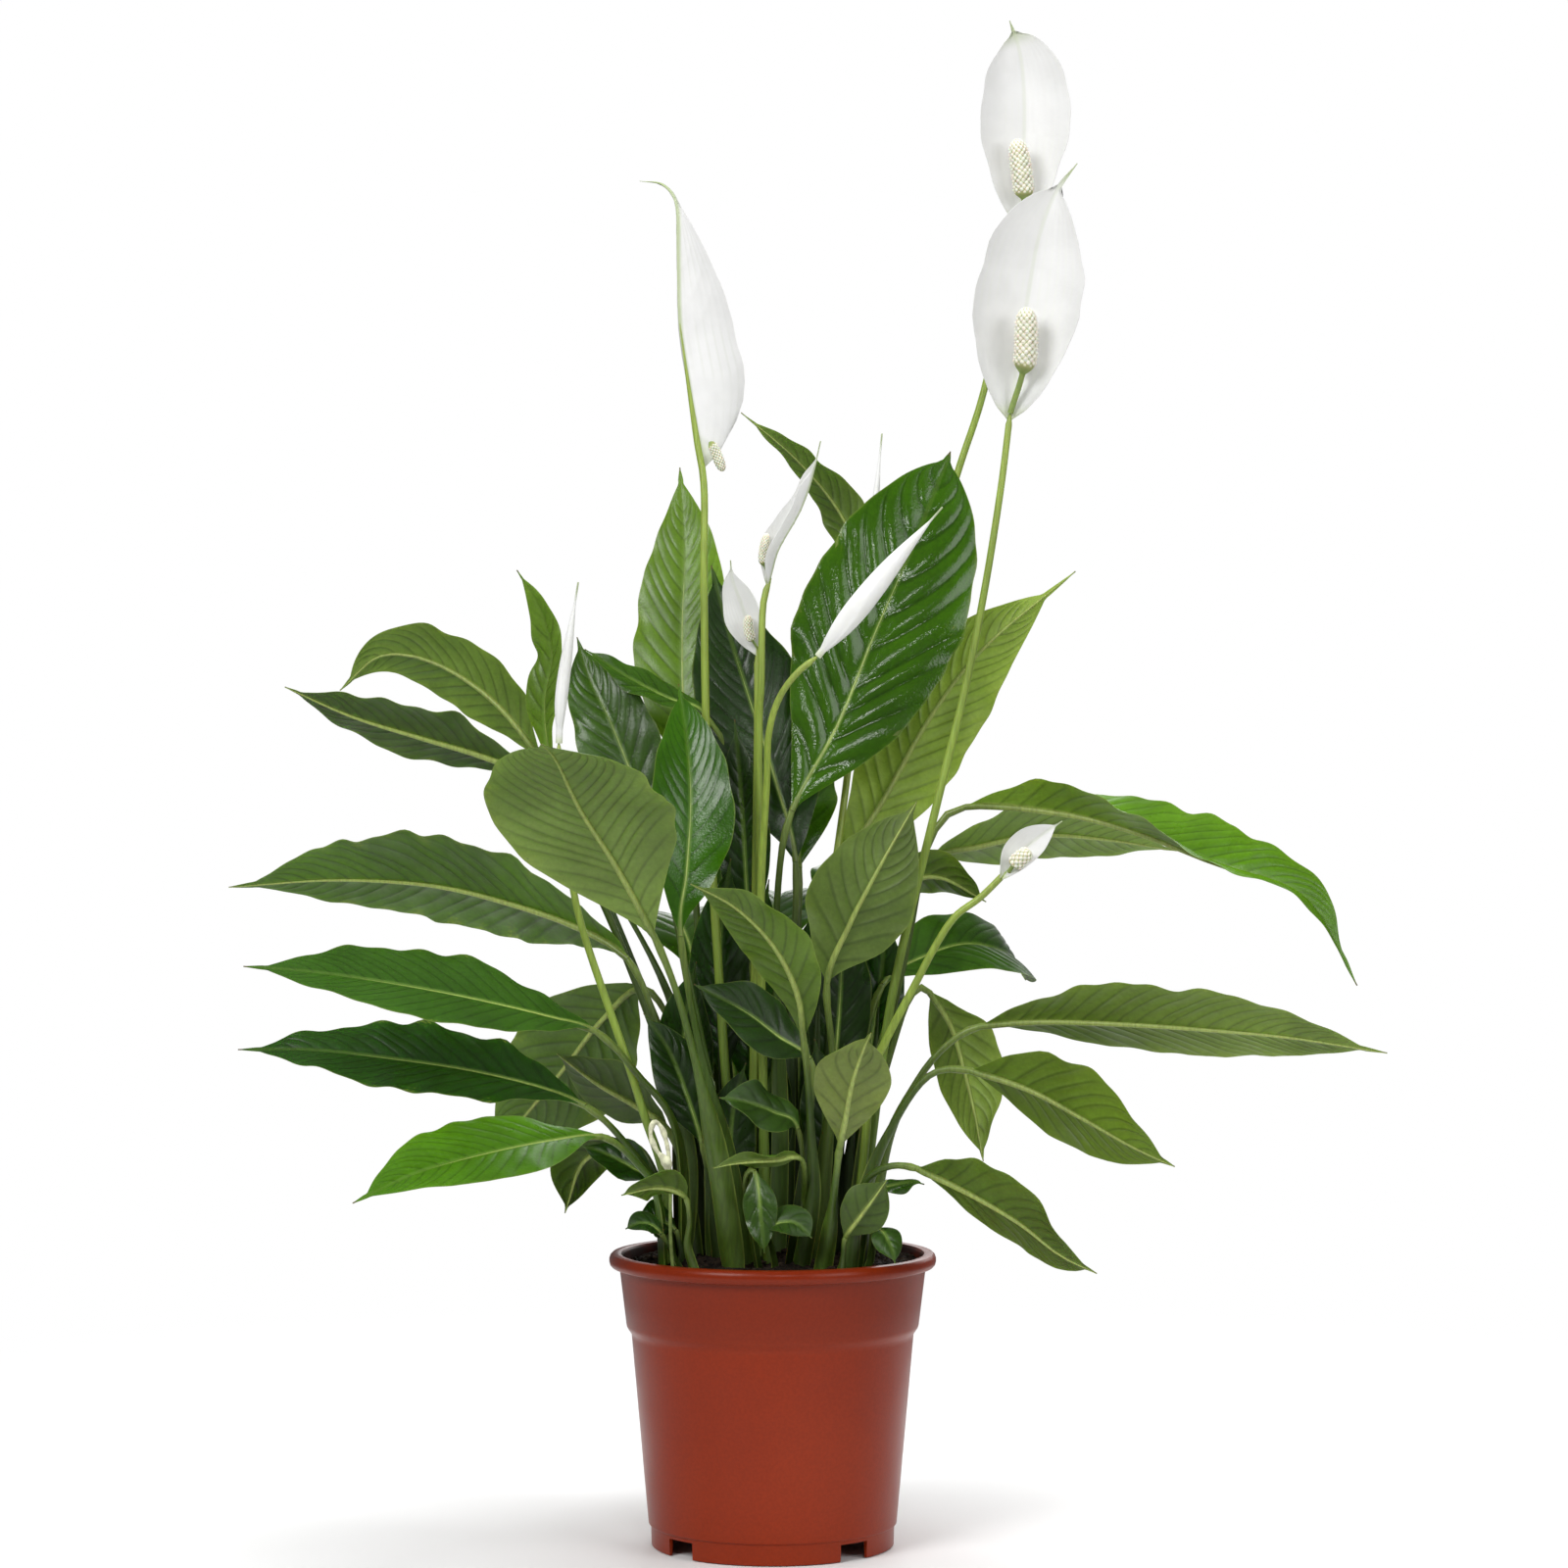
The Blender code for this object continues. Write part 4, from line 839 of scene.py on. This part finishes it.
def make_withered(materials):
    """A spent flower: limp, bent over and shrivelled, with its dried spadix at the end."""
    path = Path(((*WITHERED_STEM[0], SOIL_TOP - BURIED), *WITHERED_STEM[1:]))
    rings = 90
    share = np.linspace(0, 1, rings)
    radii = 0.9 + 0.4 * between(share, 0.55, 0.68) + 1.5 * np.exp(-(((share - 0.965) / 0.03) ** 2))
    radii = radii + 0.3 * np.sin(share * 75) * between(share, 0.6, 0.7) - 1.0 * between(share, 0.985, 1.0)
    points = tube(*spine(path, share, (0.0, -1.0, 0.15)), np.maximum(radii, 0.5))
    piece = Piece("lily_withered_flower")
    piece.add(points, tube_faces(rings, STALK_SIDES), 0, run=np.repeat(share, STALK_SIDES))
    piece.build([materials["withered"]], ["withered_flower"])


# ---------------------------------------------------------------------------------------------- pot and soil

POT_SEGMENTS = 160
POT_SHARP = math.radians(30)
NOTCHES = 4
NOTCH_TURN = math.radians(-3.4)
NOTCH_SIZE = (0.012, 0.018, 0.012)
NOTCH_PLACE = (0.0633, 0, 0.0028)
DRAIN_HOLES = 8
DRAIN_HOLE_RADIUS = 0.005
DRAIN_HOLE_DEPTH = 0.012
DRAIN_HOLE_PLACE = (0.044, 0, 0.010)
POT_OUTLINE = (
    (0.0, 9.0), (59.6, 9.0), (60.7, 8.6), (60.9, 8.0), (61.3, 0.4), (61.6, 0.0), (62.7, 0.0), (63.0, 0.35),
    (63.3, 10.2), (63.5, 10.7), (64.2, 11.0), (64.5, 11.4), (64.6, 12.2),
    (67.0, 38.0), (70.2, 74.0), (73.2, 107.6), (73.4, 109.4), (73.9, 110.4), (75.2, 112.3), (75.8, 113.3),
    (76.05, 114.4), (77.6, 127.0), (79.5, 142.4), (79.75, 143.6), (80.5, 144.2), (82.0, 144.25),
    (83.7, 144.6), (84.6, 145.6), (85.0, 147.2), (85.0, 148.7), (84.5, 150.2), (83.5, 151.2), (82.0, 151.5),
    (80.0, 151.5), (78.9, 151.2), (78.3, 150.4), (78.0, 149.4), (74.4, 114.5), (73.9, 113.2),
    (71.9, 110.2), (71.7, 108.6), (63.0, 14.0), (62.2, 12.2), (60.4, 11.0), (0.0, 11.0),
)


def turned(outline_points, segments):
    """A closed solid turned about Z from an outline that starts and ends on the axis."""
    shape = bmesh.new()
    turns = [2 * math.pi * k / segments for k in range(segments)]
    rows = [
        [shape.verts.new((radius * math.cos(a) * MM, radius * math.sin(a) * MM, height * MM)) for a in turns]
        for radius, height in outline_points[1:-1]
    ]
    for lower, upper in zip(rows, rows[1:]):
        for k in range(segments):
            shape.faces.new((lower[k], lower[(k + 1) % segments], upper[(k + 1) % segments], upper[k]))
    for row, (_, height) in ((rows[0], outline_points[0]), (rows[-1], outline_points[-1])):
        centre = shape.verts.new((0, 0, height * MM))
        for k in range(segments):
            shape.faces.new((centre, row[k], row[(k + 1) % segments]))
    bmesh.ops.recalc_face_normals(shape, faces=shape.faces)
    return shape


def object_of(name, shape, material):
    mesh = bpy.data.meshes.new(name)
    shape.to_mesh(mesh)
    shape.free()
    mesh.materials.append(material)
    mesh.shade_smooth()
    mesh.set_sharp_from_angle(angle=POT_SHARP)
    made = bpy.data.objects.new(name, mesh)
    bpy.context.scene.collection.objects.link(made)
    return made


def put(shape, made, place, turn):
    """Moves new points out from the pot's axis, then round it."""
    bmesh.ops.translate(shape, vec=place, verts=made)
    bmesh.ops.rotate(shape, cent=(0, 0, 0), matrix=Matrix.Rotation(turn, 3, "Z"), verts=made)


def make_pot(material):
    """The pot, with notches through its foot ring and drain holes through its floor."""
    pot = object_of("nursery_pot_skin", turned(POT_OUTLINE, POT_SEGMENTS), material)
    cutters = bmesh.new()
    for k in range(NOTCHES):
        made = bmesh.ops.create_cube(cutters, size=1.0)["verts"]
        bmesh.ops.scale(cutters, vec=NOTCH_SIZE, verts=made)
        put(cutters, made, NOTCH_PLACE, NOTCH_TURN + math.pi / 4 + math.pi / 2 * k)
    for k in range(DRAIN_HOLES):
        made = bmesh.ops.create_cone(cutters, cap_ends=True, segments=32, radius1=DRAIN_HOLE_RADIUS,
                                     radius2=DRAIN_HOLE_RADIUS, depth=DRAIN_HOLE_DEPTH)["verts"]
        put(cutters, made, DRAIN_HOLE_PLACE, 2 * math.pi * (k + 0.5) / DRAIN_HOLES)
    cutter = object_of("cutter", cutters, material)
    boolean = pot.modifiers.new("openings", "BOOLEAN")
    boolean.operation = "DIFFERENCE"
    boolean.solver = "EXACT"
    boolean.object = cutter
    graph = bpy.context.evaluated_depsgraph_get()
    carved = bpy.data.meshes.new_from_object(pot.evaluated_get(graph))
    pot.modifiers.clear()
    pot.data = carved
    carved.shade_smooth()
    carved.set_sharp_from_angle(angle=POT_SHARP)
    bpy.data.objects.remove(cutter, do_unlink=True)
    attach(pot, "root")
    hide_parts("nursery_pot")


SOIL_RADIUS = 76.9
SOIL_BOTTOM = 11.4
SOIL_WALL = ((76.4, SOIL_TOP - 6), (73.8, 115.0), (71.3, 109.0), (62.4, 14.2), (59.0, SOIL_BOTTOM))
HEAP_BEHIND = 18
CRUMBS = 620
CRUMBS_REACH = 74.5


def lump(x, y, scale, turn):
    """A smooth uneven height from a few crossed waves."""
    total = 0
    for k in range(5):
        a = 1.7 * k + turn
        across = x * math.cos(a) + y * math.sin(a)
        total = total + np.sin(across * scale * (1 + 0.37 * k) + 2.1 * k) / (1 + 0.5 * k)
    return total


def soil_height(x, y):
    """The heaped potting mix's height: lowest at the wall, highest behind the middle."""
    from_heap = np.sqrt(x * x + (y - HEAP_BEHIND) ** 2) / (SOIL_RADIUS + HEAP_BEHIND)
    heap = SOIL_HEAP * (1 - from_heap**1.6)
    return SOIL_TOP - 1.0 + heap + 0.8 * lump(x, y, 0.12, 0.3) + 0.5 * lump(x, y, 0.45, 1.1)


def make_soil(material):
    """The potting mix: an uneven crumbly top, and crumbs of bark and fibre lying on it."""
    rng = np.random.default_rng(SOIL_SEED)
    rings, sides = 60, 150
    radius = SOIL_RADIUS * np.linspace(0, 1, rings)[1:] ** 0.8
    turns = round_turns(sides)
    x = radius[:, None] * np.cos(turns)
    y = radius[:, None] * np.sin(turns)
    crumbs = rng.normal(0, 0.55, x.shape) * between(SOIL_RADIUS - radius, 0.0, 3.0)[:, None]
    z = soil_height(x, y) + crumbs
    top = np.stack([x, y, z], axis=-1)
    wall = [np.stack([r * np.cos(turns), r * np.sin(turns), h + 0 * turns], axis=-1) for r, h in SOIL_WALL]
    rows = np.concatenate([top, np.array(wall)])
    piece = Piece("potting_soil_crumbs")
    count = len(rows)
    faces = tube_faces(count, sides)
    faces = [face[::-1] for face in faces[:-2]]
    centre = count * sides
    faces += [(centre, k, (k + 1) % sides) for k in range(sides)]
    last = (count - 1) * sides
    faces += [(centre + 1, last + (k + 1) % sides, last + k) for k in range(sides)]
    ends = np.array([[0, 0, float(soil_height(0.0, 0.0))], [0, 0, SOIL_BOTTOM]])
    piece.add(np.vstack([rows.reshape(-1, 3), ends]), faces, 0)

    ball = bmesh.new()
    bmesh.ops.create_icosphere(ball, subdivisions=1, radius=1.0)
    ball_points = np.array([v.co[:] for v in ball.verts])
    ball_faces = [[v.index for v in f.verts] for f in ball.faces]
    ball.free()
    for k in range(CRUMBS):
        reach = CRUMBS_REACH * math.sqrt(rng.uniform(0, 1))
        turn = rng.uniform(0, 2 * math.pi)
        size = rng.uniform(0.5, 1.7) if k % 9 else rng.uniform(1.6, 2.8)
        stretch = np.array([rng.uniform(0.7, 1.9), rng.uniform(0.6, 1.1), rng.uniform(0.5, 0.9)])
        spin = Matrix.Rotation(rng.uniform(0, 6.28), 3, "Z")
        rotation = np.array(spin @ Matrix.Rotation(rng.uniform(-0.6, 0.6), 3, "X"))
        points = ball_points * (1 + rng.uniform(-0.22, 0.22, (len(ball_points), 1))) * stretch * size
        px, py = reach * math.cos(turn), reach * math.sin(turn)
        height = soil_height(px, py) + 0.2
        light = 1.0 if k % 23 == 0 else rng.uniform(0.0, 0.35)
        piece.add(points @ rotation.T + (px, py, height), ball_faces, 0, height=light)
    piece.build([material], ["potting_soil"], sharp=80)


# ---------------------------------------------------------------------------------------------- materials


NOISE_SPREAD = (0.3, 0.7)  # most of a noise's values lie between these


class Material:
    """A Principled material and short calls for its nodes."""

    def __init__(self, name, **constants):
        self.material = bpy.data.materials.new(name)
        self.material.use_nodes = True
        self.tree = self.material.node_tree
        self.shader = self.tree.nodes["Principled BSDF"]
        for socket, value in constants.items():
            self.shader.inputs[socket.replace("_", " ").title().replace("Ior", "IOR")].default_value = value

    def link(self, value, socket):
        if isinstance(value, bpy.types.NodeSocket):
            self.tree.links.new(value, socket)
        elif isinstance(value, tuple) and len(value) == 3 and socket.type == "RGBA":
            socket.default_value = (*value, 1.0)
        else:
            socket.default_value = value

    def node(self, kind, *values, **settings):
        made = self.tree.nodes.new("ShaderNode" + kind)
        for key, value in settings.items():
            setattr(made, key, value)
        for socket, value in zip(made.inputs, values):
            if value is not None:
                self.link(value, socket)
        return made

    def value(self, name):
        return self.node("Attribute", attribute_name=name).outputs["Fac"]

    def colour(self, name):
        return self.node("Attribute", attribute_name=name).outputs["Color"]

    def maths(self, operation, a, b=0.0):
        return self.node("Math", a, b, operation=operation).outputs[0]

    def times(self, a, b):
        return self.maths("MULTIPLY", a, b)

    def plus(self, a, b):
        return self.maths("ADD", a, b)

    def rise(self, value, low, high, to_low=0.0, to_high=1.0):
        """Runs from to_low to to_high, smoothly, as the value goes from low to high."""
        made = self.node("MapRange", value, low, high, to_low, to_high, interpolation_type="SMOOTHSTEP")
        return made.outputs[0]

    def noise(self, scale, detail=3.0, roughness=0.5, stretch=(1, 1, 1)):
        place = self.node("TexCoord").outputs["Object"]
        if stretch != (1, 1, 1):
            place = self.node("VectorMath", place, stretch, operation="MULTIPLY").outputs[0]
        made = self.node("TexNoise", place)
        made.inputs["Scale"].default_value = scale
        made.inputs["Detail"].default_value = detail
        made.inputs["Roughness"].default_value = roughness
        return made.outputs["Fac"]

    def uneven(self, low, high, *noise):
        """Wanders between low and high over the surface."""
        return self.rise(self.noise(*noise), *NOISE_SPREAD, low, high)

    def mix(self, share, a, b, blend="MIX"):
        made = self.tree.nodes.new("ShaderNodeMix")
        made.data_type = "RGBA"
        made.blend_type = blend
        self.link(share, made.inputs["Factor"])
        self.link(a, made.inputs["A"])
        self.link(b, made.inputs["B"])
        return made.outputs["Result"]

    def shade(self, colour, factor):
        """A colour made lighter or darker by a factor."""
        grey = self.node("CombineColor", factor, factor, factor).outputs[0]
        return self.mix(1.0, colour, grey, "MULTIPLY")

    def set(self, socket, value):
        self.link(value, self.shader.inputs[socket])

    def bump(self, height, strength, distance):
        made = self.node("Bump")
        made.inputs["Strength"].default_value = strength
        made.inputs["Distance"].default_value = distance
        self.link(height, made.inputs["Height"])
        self.set("Normal", made.outputs[0])

    def finished(self, colour, roughness, height, strength, distance):
        self.set("Base Color", colour)
        self.set("Roughness", roughness)
        self.bump(height, strength, distance)
        return self.material


def leaf_material():
    m = Material("leaf_blade", specular_ior_level=0.36, subsurface_weight=0.12, subsurface_scale=0.003)
    m.shader.inputs["Subsurface Radius"].default_value = (0.6, 1.0, 0.15)
    upper = m.value("upper")
    base = m.mix(upper, m.colour("tone_under"), m.colour("tone_upper"))
    base = m.shade(base, m.uneven(0.80, 1.22, 22.0, 4.0))
    base = m.shade(base, m.uneven(0.93, 1.07, 420.0, 2.0))
    # The side veins are darkened: painted shade in their sunken creases.
    vein = m.rise(m.value("vein"), 0.04, 0.33, 1.0, 0.0)
    inner = m.rise(m.maths("ABSOLUTE", m.value("across")), 0.7, 1.0, 1.0, 0.3)
    vein = m.times(vein, inner)
    base = m.mix(m.times(vein, m.rise(upper, 0.0, 1.0, 0.52, 0.5)), base, m.shade(base, 0.42))
    pale = m.mix(upper, (0.30, 0.36, 0.09), (0.16, 0.27, 0.045))
    rib = m.rise(m.value("from_rib"), 0.5, 1.8, 1.0, 0.0)
    fading = m.rise(m.value("along"), 0.1, 0.95, 0.75, 0.15)
    base = m.mix(m.times(rib, fading), base, pale)
    margin = m.rise(m.maths("ABSOLUTE", m.value("across")), 0.965, 1.0, 0.0, 0.35)
    base = m.mix(margin, base, (0.20, 0.27, 0.06))
    dry = m.rise(m.value("along"), 0.982, 0.997)
    base = m.mix(m.times(dry, 0.8), base, (0.10, 0.055, 0.02))
    rough = m.plus(m.times(upper, m.value("rough")), m.rise(upper, 0.0, 1.0, 0.5, 0.0))
    rough = m.times(rough, m.uneven(0.85, 1.2, 60.0, 3.0))
    fine = m.plus(m.noise(900.0, 2.0), m.times(m.noise(160.0, 3.0), 1.5))
    return m.finished(base, rough, fine, 0.22, 0.0005)


def stalk_material():
    m = Material("leaf_stalk", specular_ior_level=0.45, subsurface_weight=0.1, subsurface_scale=0.003)
    run = m.value("run")
    base = m.colour("tone_stalk")
    base = m.mix(m.rise(run, 0.75, 1.0, 0.0, 0.55), base, (0.22, 0.30, 0.06))
    base = m.mix(m.rise(run, 1.0, 1.2, 0.0, 0.8), base, (0.33, 0.41, 0.10))
    # Darker at the foot: painted shade where the stalks crowd together above the soil.
    base = m.mix(m.rise(run, 0.0, 0.10, 0.6, 0.0), base, (0.045, 0.060, 0.012))
    base = m.mix(m.rise(m.value("height"), 0.45, 1.0, 0.0, 0.75), base, (0.22, 0.30, 0.05))
    streaks = m.noise(30.0, 4.0, 0.6, (26, 26, 1.2))
    base = m.shade(base, m.rise(streaks, *NOISE_SPREAD, 0.80, 1.18))
    return m.finished(base, m.uneven(0.36, 0.52, 80.0), streaks, 0.25, 0.0004)


def stem_material():
    m = Material("flower_stem", specular_ior_level=0.45, subsurface_weight=0.1, subsurface_scale=0.003)
    base = m.colour("tone_stalk")
    # The lower stem is darker: painted shade among the leaves.
    base = m.mix(m.rise(m.value("run"), 0.1, 0.55, 0.85, 0.0), base, (0.055, 0.110, 0.008))
    base = m.mix(m.rise(m.value("run"), 0.8, 1.0, 0.0, 0.6), base, (0.34, 0.43, 0.09))
    streaks = m.noise(30.0, 4.0, 0.6, (26, 26, 1.0))
    base = m.shade(base, m.rise(streaks, *NOISE_SPREAD, 0.82, 1.16))
    base = m.shade(base, m.uneven(0.9, 1.1, 25.0))
    return m.finished(base, m.uneven(0.36, 0.5, 80.0), streaks, 0.25, 0.0004)


def spathe_material():
    m = Material("spathe", specular_ior_level=0.35, subsurface_weight=0.30, subsurface_scale=0.006)
    m.shader.inputs["Subsurface Radius"].default_value = (1.0, 1.0, 0.85)
    across, along = m.value("across"), m.value("along")
    lines = m.maths("SINE", m.times(across, 42.0))
    lined = m.times(m.rise(lines, 0.2, 1.0, 0.0, 0.3), m.rise(m.noise(30.0), 0.35, 0.65))
    # The face is a greyer white than the back: painted shade on the face and painted light on the back, for how
    # the light falls on each.
    white = m.mix(m.value("upper"), (0.90, 0.90, 0.885), (0.73, 0.73, 0.715))
    base = m.mix(lined, white, (0.72, 0.74, 0.67))
    base = m.shade(base, m.uneven(0.95, 1.04, 45.0, 3.0))
    rib = m.rise(m.value("from_rib"), 0.4, 1.6, 1.0, 0.0)
    back = m.maths("SUBTRACT", 1.0, m.value("upper"))
    base = m.mix(m.times(rib, m.rise(back, 0.0, 1.0, 0.15, 0.75)), base, (0.36, 0.48, 0.14))
    base = m.mix(m.rise(along, 0.85, 0.97, 0.0, 0.8), base, (0.22, 0.30, 0.08))
    base = m.mix(m.rise(along, 0.0, 0.07, 0.55, 0.0), base, (0.45, 0.55, 0.20))
    return m.finished(base, m.uneven(0.42, 0.55, 120.0),
                      m.plus(m.noise(500.0, 2.0), m.times(lines, 0.3)), 0.12, 0.0004)


def spadix_material():
    m = Material("spadix", specular_ior_level=0.35, subsurface_weight=0.2, subsurface_scale=0.002)
    # Darker in the hollows between the florets: painted shade.
    base = m.mix(m.rise(m.value("height"), 0.05, 0.5), (0.42, 0.42, 0.18), (0.88, 0.86, 0.74))
    base = m.mix(m.value("run"), (0.24, 0.33, 0.09), base)
    base = m.shade(base, m.uneven(0.88, 1.1, 300.0))
    return m.finished(base, m.uneven(0.5, 0.7, 400.0), m.noise(1500.0, 2.0), 0.3, 0.0004)


def withered_material():
    m = Material("withered_flower", specular_ior_level=0.3)
    base = m.mix(m.rise(m.value("run"), 0.5, 0.62), (0.20, 0.27, 0.07), (0.74, 0.74, 0.52))
    base = m.shade(base, m.uneven(0.65, 1.15, 300.0, 4.0))
    return m.finished(base, m.uneven(0.6, 0.8, 200.0), m.noise(400.0, 3.0), 0.5, 0.0008)


def pot_material():
    m = Material("terracotta_plastic", specular_ior_level=0.2)
    base = m.mix(m.rise(m.noise(9.0, 4.0), 0.35, 0.65), (0.212, 0.019, 0.002), (0.236, 0.023, 0.003))
    base = m.shade(base, m.uneven(0.94, 1.06, 700.0, 2.0))
    place = m.node("SeparateXYZ", m.node("TexCoord").outputs["Object"]).outputs
    out = m.maths("SQRT", m.plus(m.times(place[0], place[0]), m.times(place[1], place[1])))
    # The wall's inside, which lies within a cone, is darkened above the step: painted shade inside the pot.
    wall = m.plus(0.0634, m.times(place[2], 0.1020))
    edge = m.plus(m.maths("SUBTRACT", wall, out), m.uneven(-0.0006, 0.0006, 40.0, 4.0))
    inside = m.times(m.rise(edge, -0.0004, 0.0008), m.rise(place[2], 0.1134, 0.1138))
    base = m.mix(m.times(inside, 0.9), base, (0.030, 0.014, 0.009))
    # The collar is a little darker than the body: painted shade from its slope and the lip above it.
    base = m.shade(base, m.rise(place[2], 0.110, 0.117, 1.0, 0.84))
    return m.finished(base, m.uneven(0.28, 0.34, 35.0, 4.0),
                      m.plus(m.noise(1400.0, 2.0), m.noise(90.0, 3.0)), 0.08, 0.0004)


def soil_material():
    m = Material("potting_mix", specular_ior_level=0.2)
    base = m.mix(m.rise(m.noise(260.0, 4.0, 0.7), 0.35, 0.7), (0.006, 0.004, 0.003), (0.026, 0.016, 0.010))
    base = m.mix(m.value("height"), base, (0.075, 0.050, 0.030))
    return m.finished(base, m.uneven(0.8, 0.98, 300.0), m.noise(900.0, 5.0, 0.7), 0.9, 0.0015)


def floor_material():
    """A pale floor that fades out into the backdrop's white far from the plant."""
    m = Material("studio_floor", roughness=0.6, specular_ior_level=0.2)
    m.set("Base Color", m.mix(m.noise(3.0), (0.90, 0.90, 0.90), (0.93, 0.93, 0.93)))
    place = m.node("NewGeometry").outputs["Position"]
    reach = m.node("VectorMath", place, operation="LENGTH").outputs["Value"]
    clear = m.tree.nodes.new("ShaderNodeBsdfTransparent")
    blend = m.tree.nodes.new("ShaderNodeMixShader")
    m.link(m.rise(reach, 0.28, 1.0), blend.inputs[0])
    m.link(m.shader.outputs[0], blend.inputs[1])
    m.link(clear.outputs[0], blend.inputs[2])
    m.link(blend.outputs[0], m.tree.nodes["Material Output"].inputs["Surface"])
    return m.material


# ---------------------------------------------------------------------------------------------- studio


FLOOR_RADIUS = 3.0
FLOOR_DROP = 0.0004
AMBIENT = 0.20  # how bright the world lights the plant, where the camera sees it at 1
LENS = 92.6
CAMERA_PLACE = (0.0059, -2.1, 0.3951)


def make_floor():
    shape = bmesh.new()
    bmesh.ops.create_circle(shape, cap_ends=True, segments=96, radius=FLOOR_RADIUS)
    bmesh.ops.translate(shape, vec=(0, 0, -FLOOR_DROP), verts=shape.verts)
    floor = object_of("studio_floor", shape, floor_material())


def make_light(name, place, aim, size, power, mirrored=True):
    """A soft rectangular light. One that isn't mirrored lights things and leaves no highlight of its own."""
    data = bpy.data.lights.new(name, "AREA")
    data.shape = "RECTANGLE"
    data.size, data.size_y = size
    data.energy = power
    made = bpy.data.objects.new(name, data)
    made.location = place
    made.rotation_euler = (Vector(aim) - Vector(place)).to_track_quat("-Z", "Y").to_euler()
    made.visible_glossy = mirrored
    bpy.context.scene.collection.objects.link(made)


def make_studio():
    make_floor()
    make_light("key", (-1.2, -1.6, 1.6), (0, 0, 0.4), (1.0, 1.0), 34)
    make_light("fill", (1.5, -1.4, 1.0), (0, 0, 0.4), (1.0, 1.2), 14)
    make_light("top", (0.1, 0.2, 2.0), (0, 0, 0.4), (1.4, 1.4), 34, mirrored=False)
    make_light("front", (0.25, -2.2, 1.35), (0, 0, 0.4), (0.36, 0.16), 6)
    make_light("back", (0.6, 1.8, 1.1), (0, 0, 0.5), (1.6, 1.2), 14)
    world = bpy.data.worlds.new("studio")
    bpy.context.scene.world = world
    world.use_nodes = True
    tree = world.node_tree
    background = tree.nodes["Background"]
    background.inputs["Color"].default_value = (1, 1, 1, 1)
    seen = tree.nodes.new("ShaderNodeLightPath").outputs["Is Camera Ray"]
    strength = tree.nodes.new("ShaderNodeMapRange")
    strength.inputs["To Min"].default_value = AMBIENT
    strength.inputs["To Max"].default_value = 1.0
    tree.links.new(seen, strength.inputs["Value"])
    tree.links.new(strength.outputs[0], background.inputs["Strength"])


def make_camera():
    data = bpy.data.cameras.new("camera")
    data.lens = LENS
    data.sensor_width = 36.0
    data.clip_start, data.clip_end = 0.05, 20.0
    camera = bpy.data.objects.new("camera", data)
    camera.location = CAMERA_PLACE
    camera.rotation_euler = (math.pi / 2, 0, 0)
    bpy.context.scene.collection.objects.link(camera)
    bpy.context.scene.camera = camera


def main():
    bpy.context.scene.view_settings.view_transform = "Standard"
    blade_and_stalk = [leaf_material(), stalk_material()]
    for number, shape in enumerate(LEAVES):
        make_leaf(number, shape, blade_and_stalk)
    make_old_stalks(blade_and_stalk)
    materials = {
        "stem": stem_material(),
        "spathe": spathe_material(),
        "spadix": spadix_material(),
        "withered": withered_material(),
    }
    for number, flower in enumerate(FLOWERS):
        make_flower(number, flower, materials)
    for number, bud in enumerate(BUDS):
        make_bud(number, bud, materials)
    make_withered(materials)
    make_pot(pot_material())
    make_soil(soil_material())
    make_studio()
    make_camera()


main()
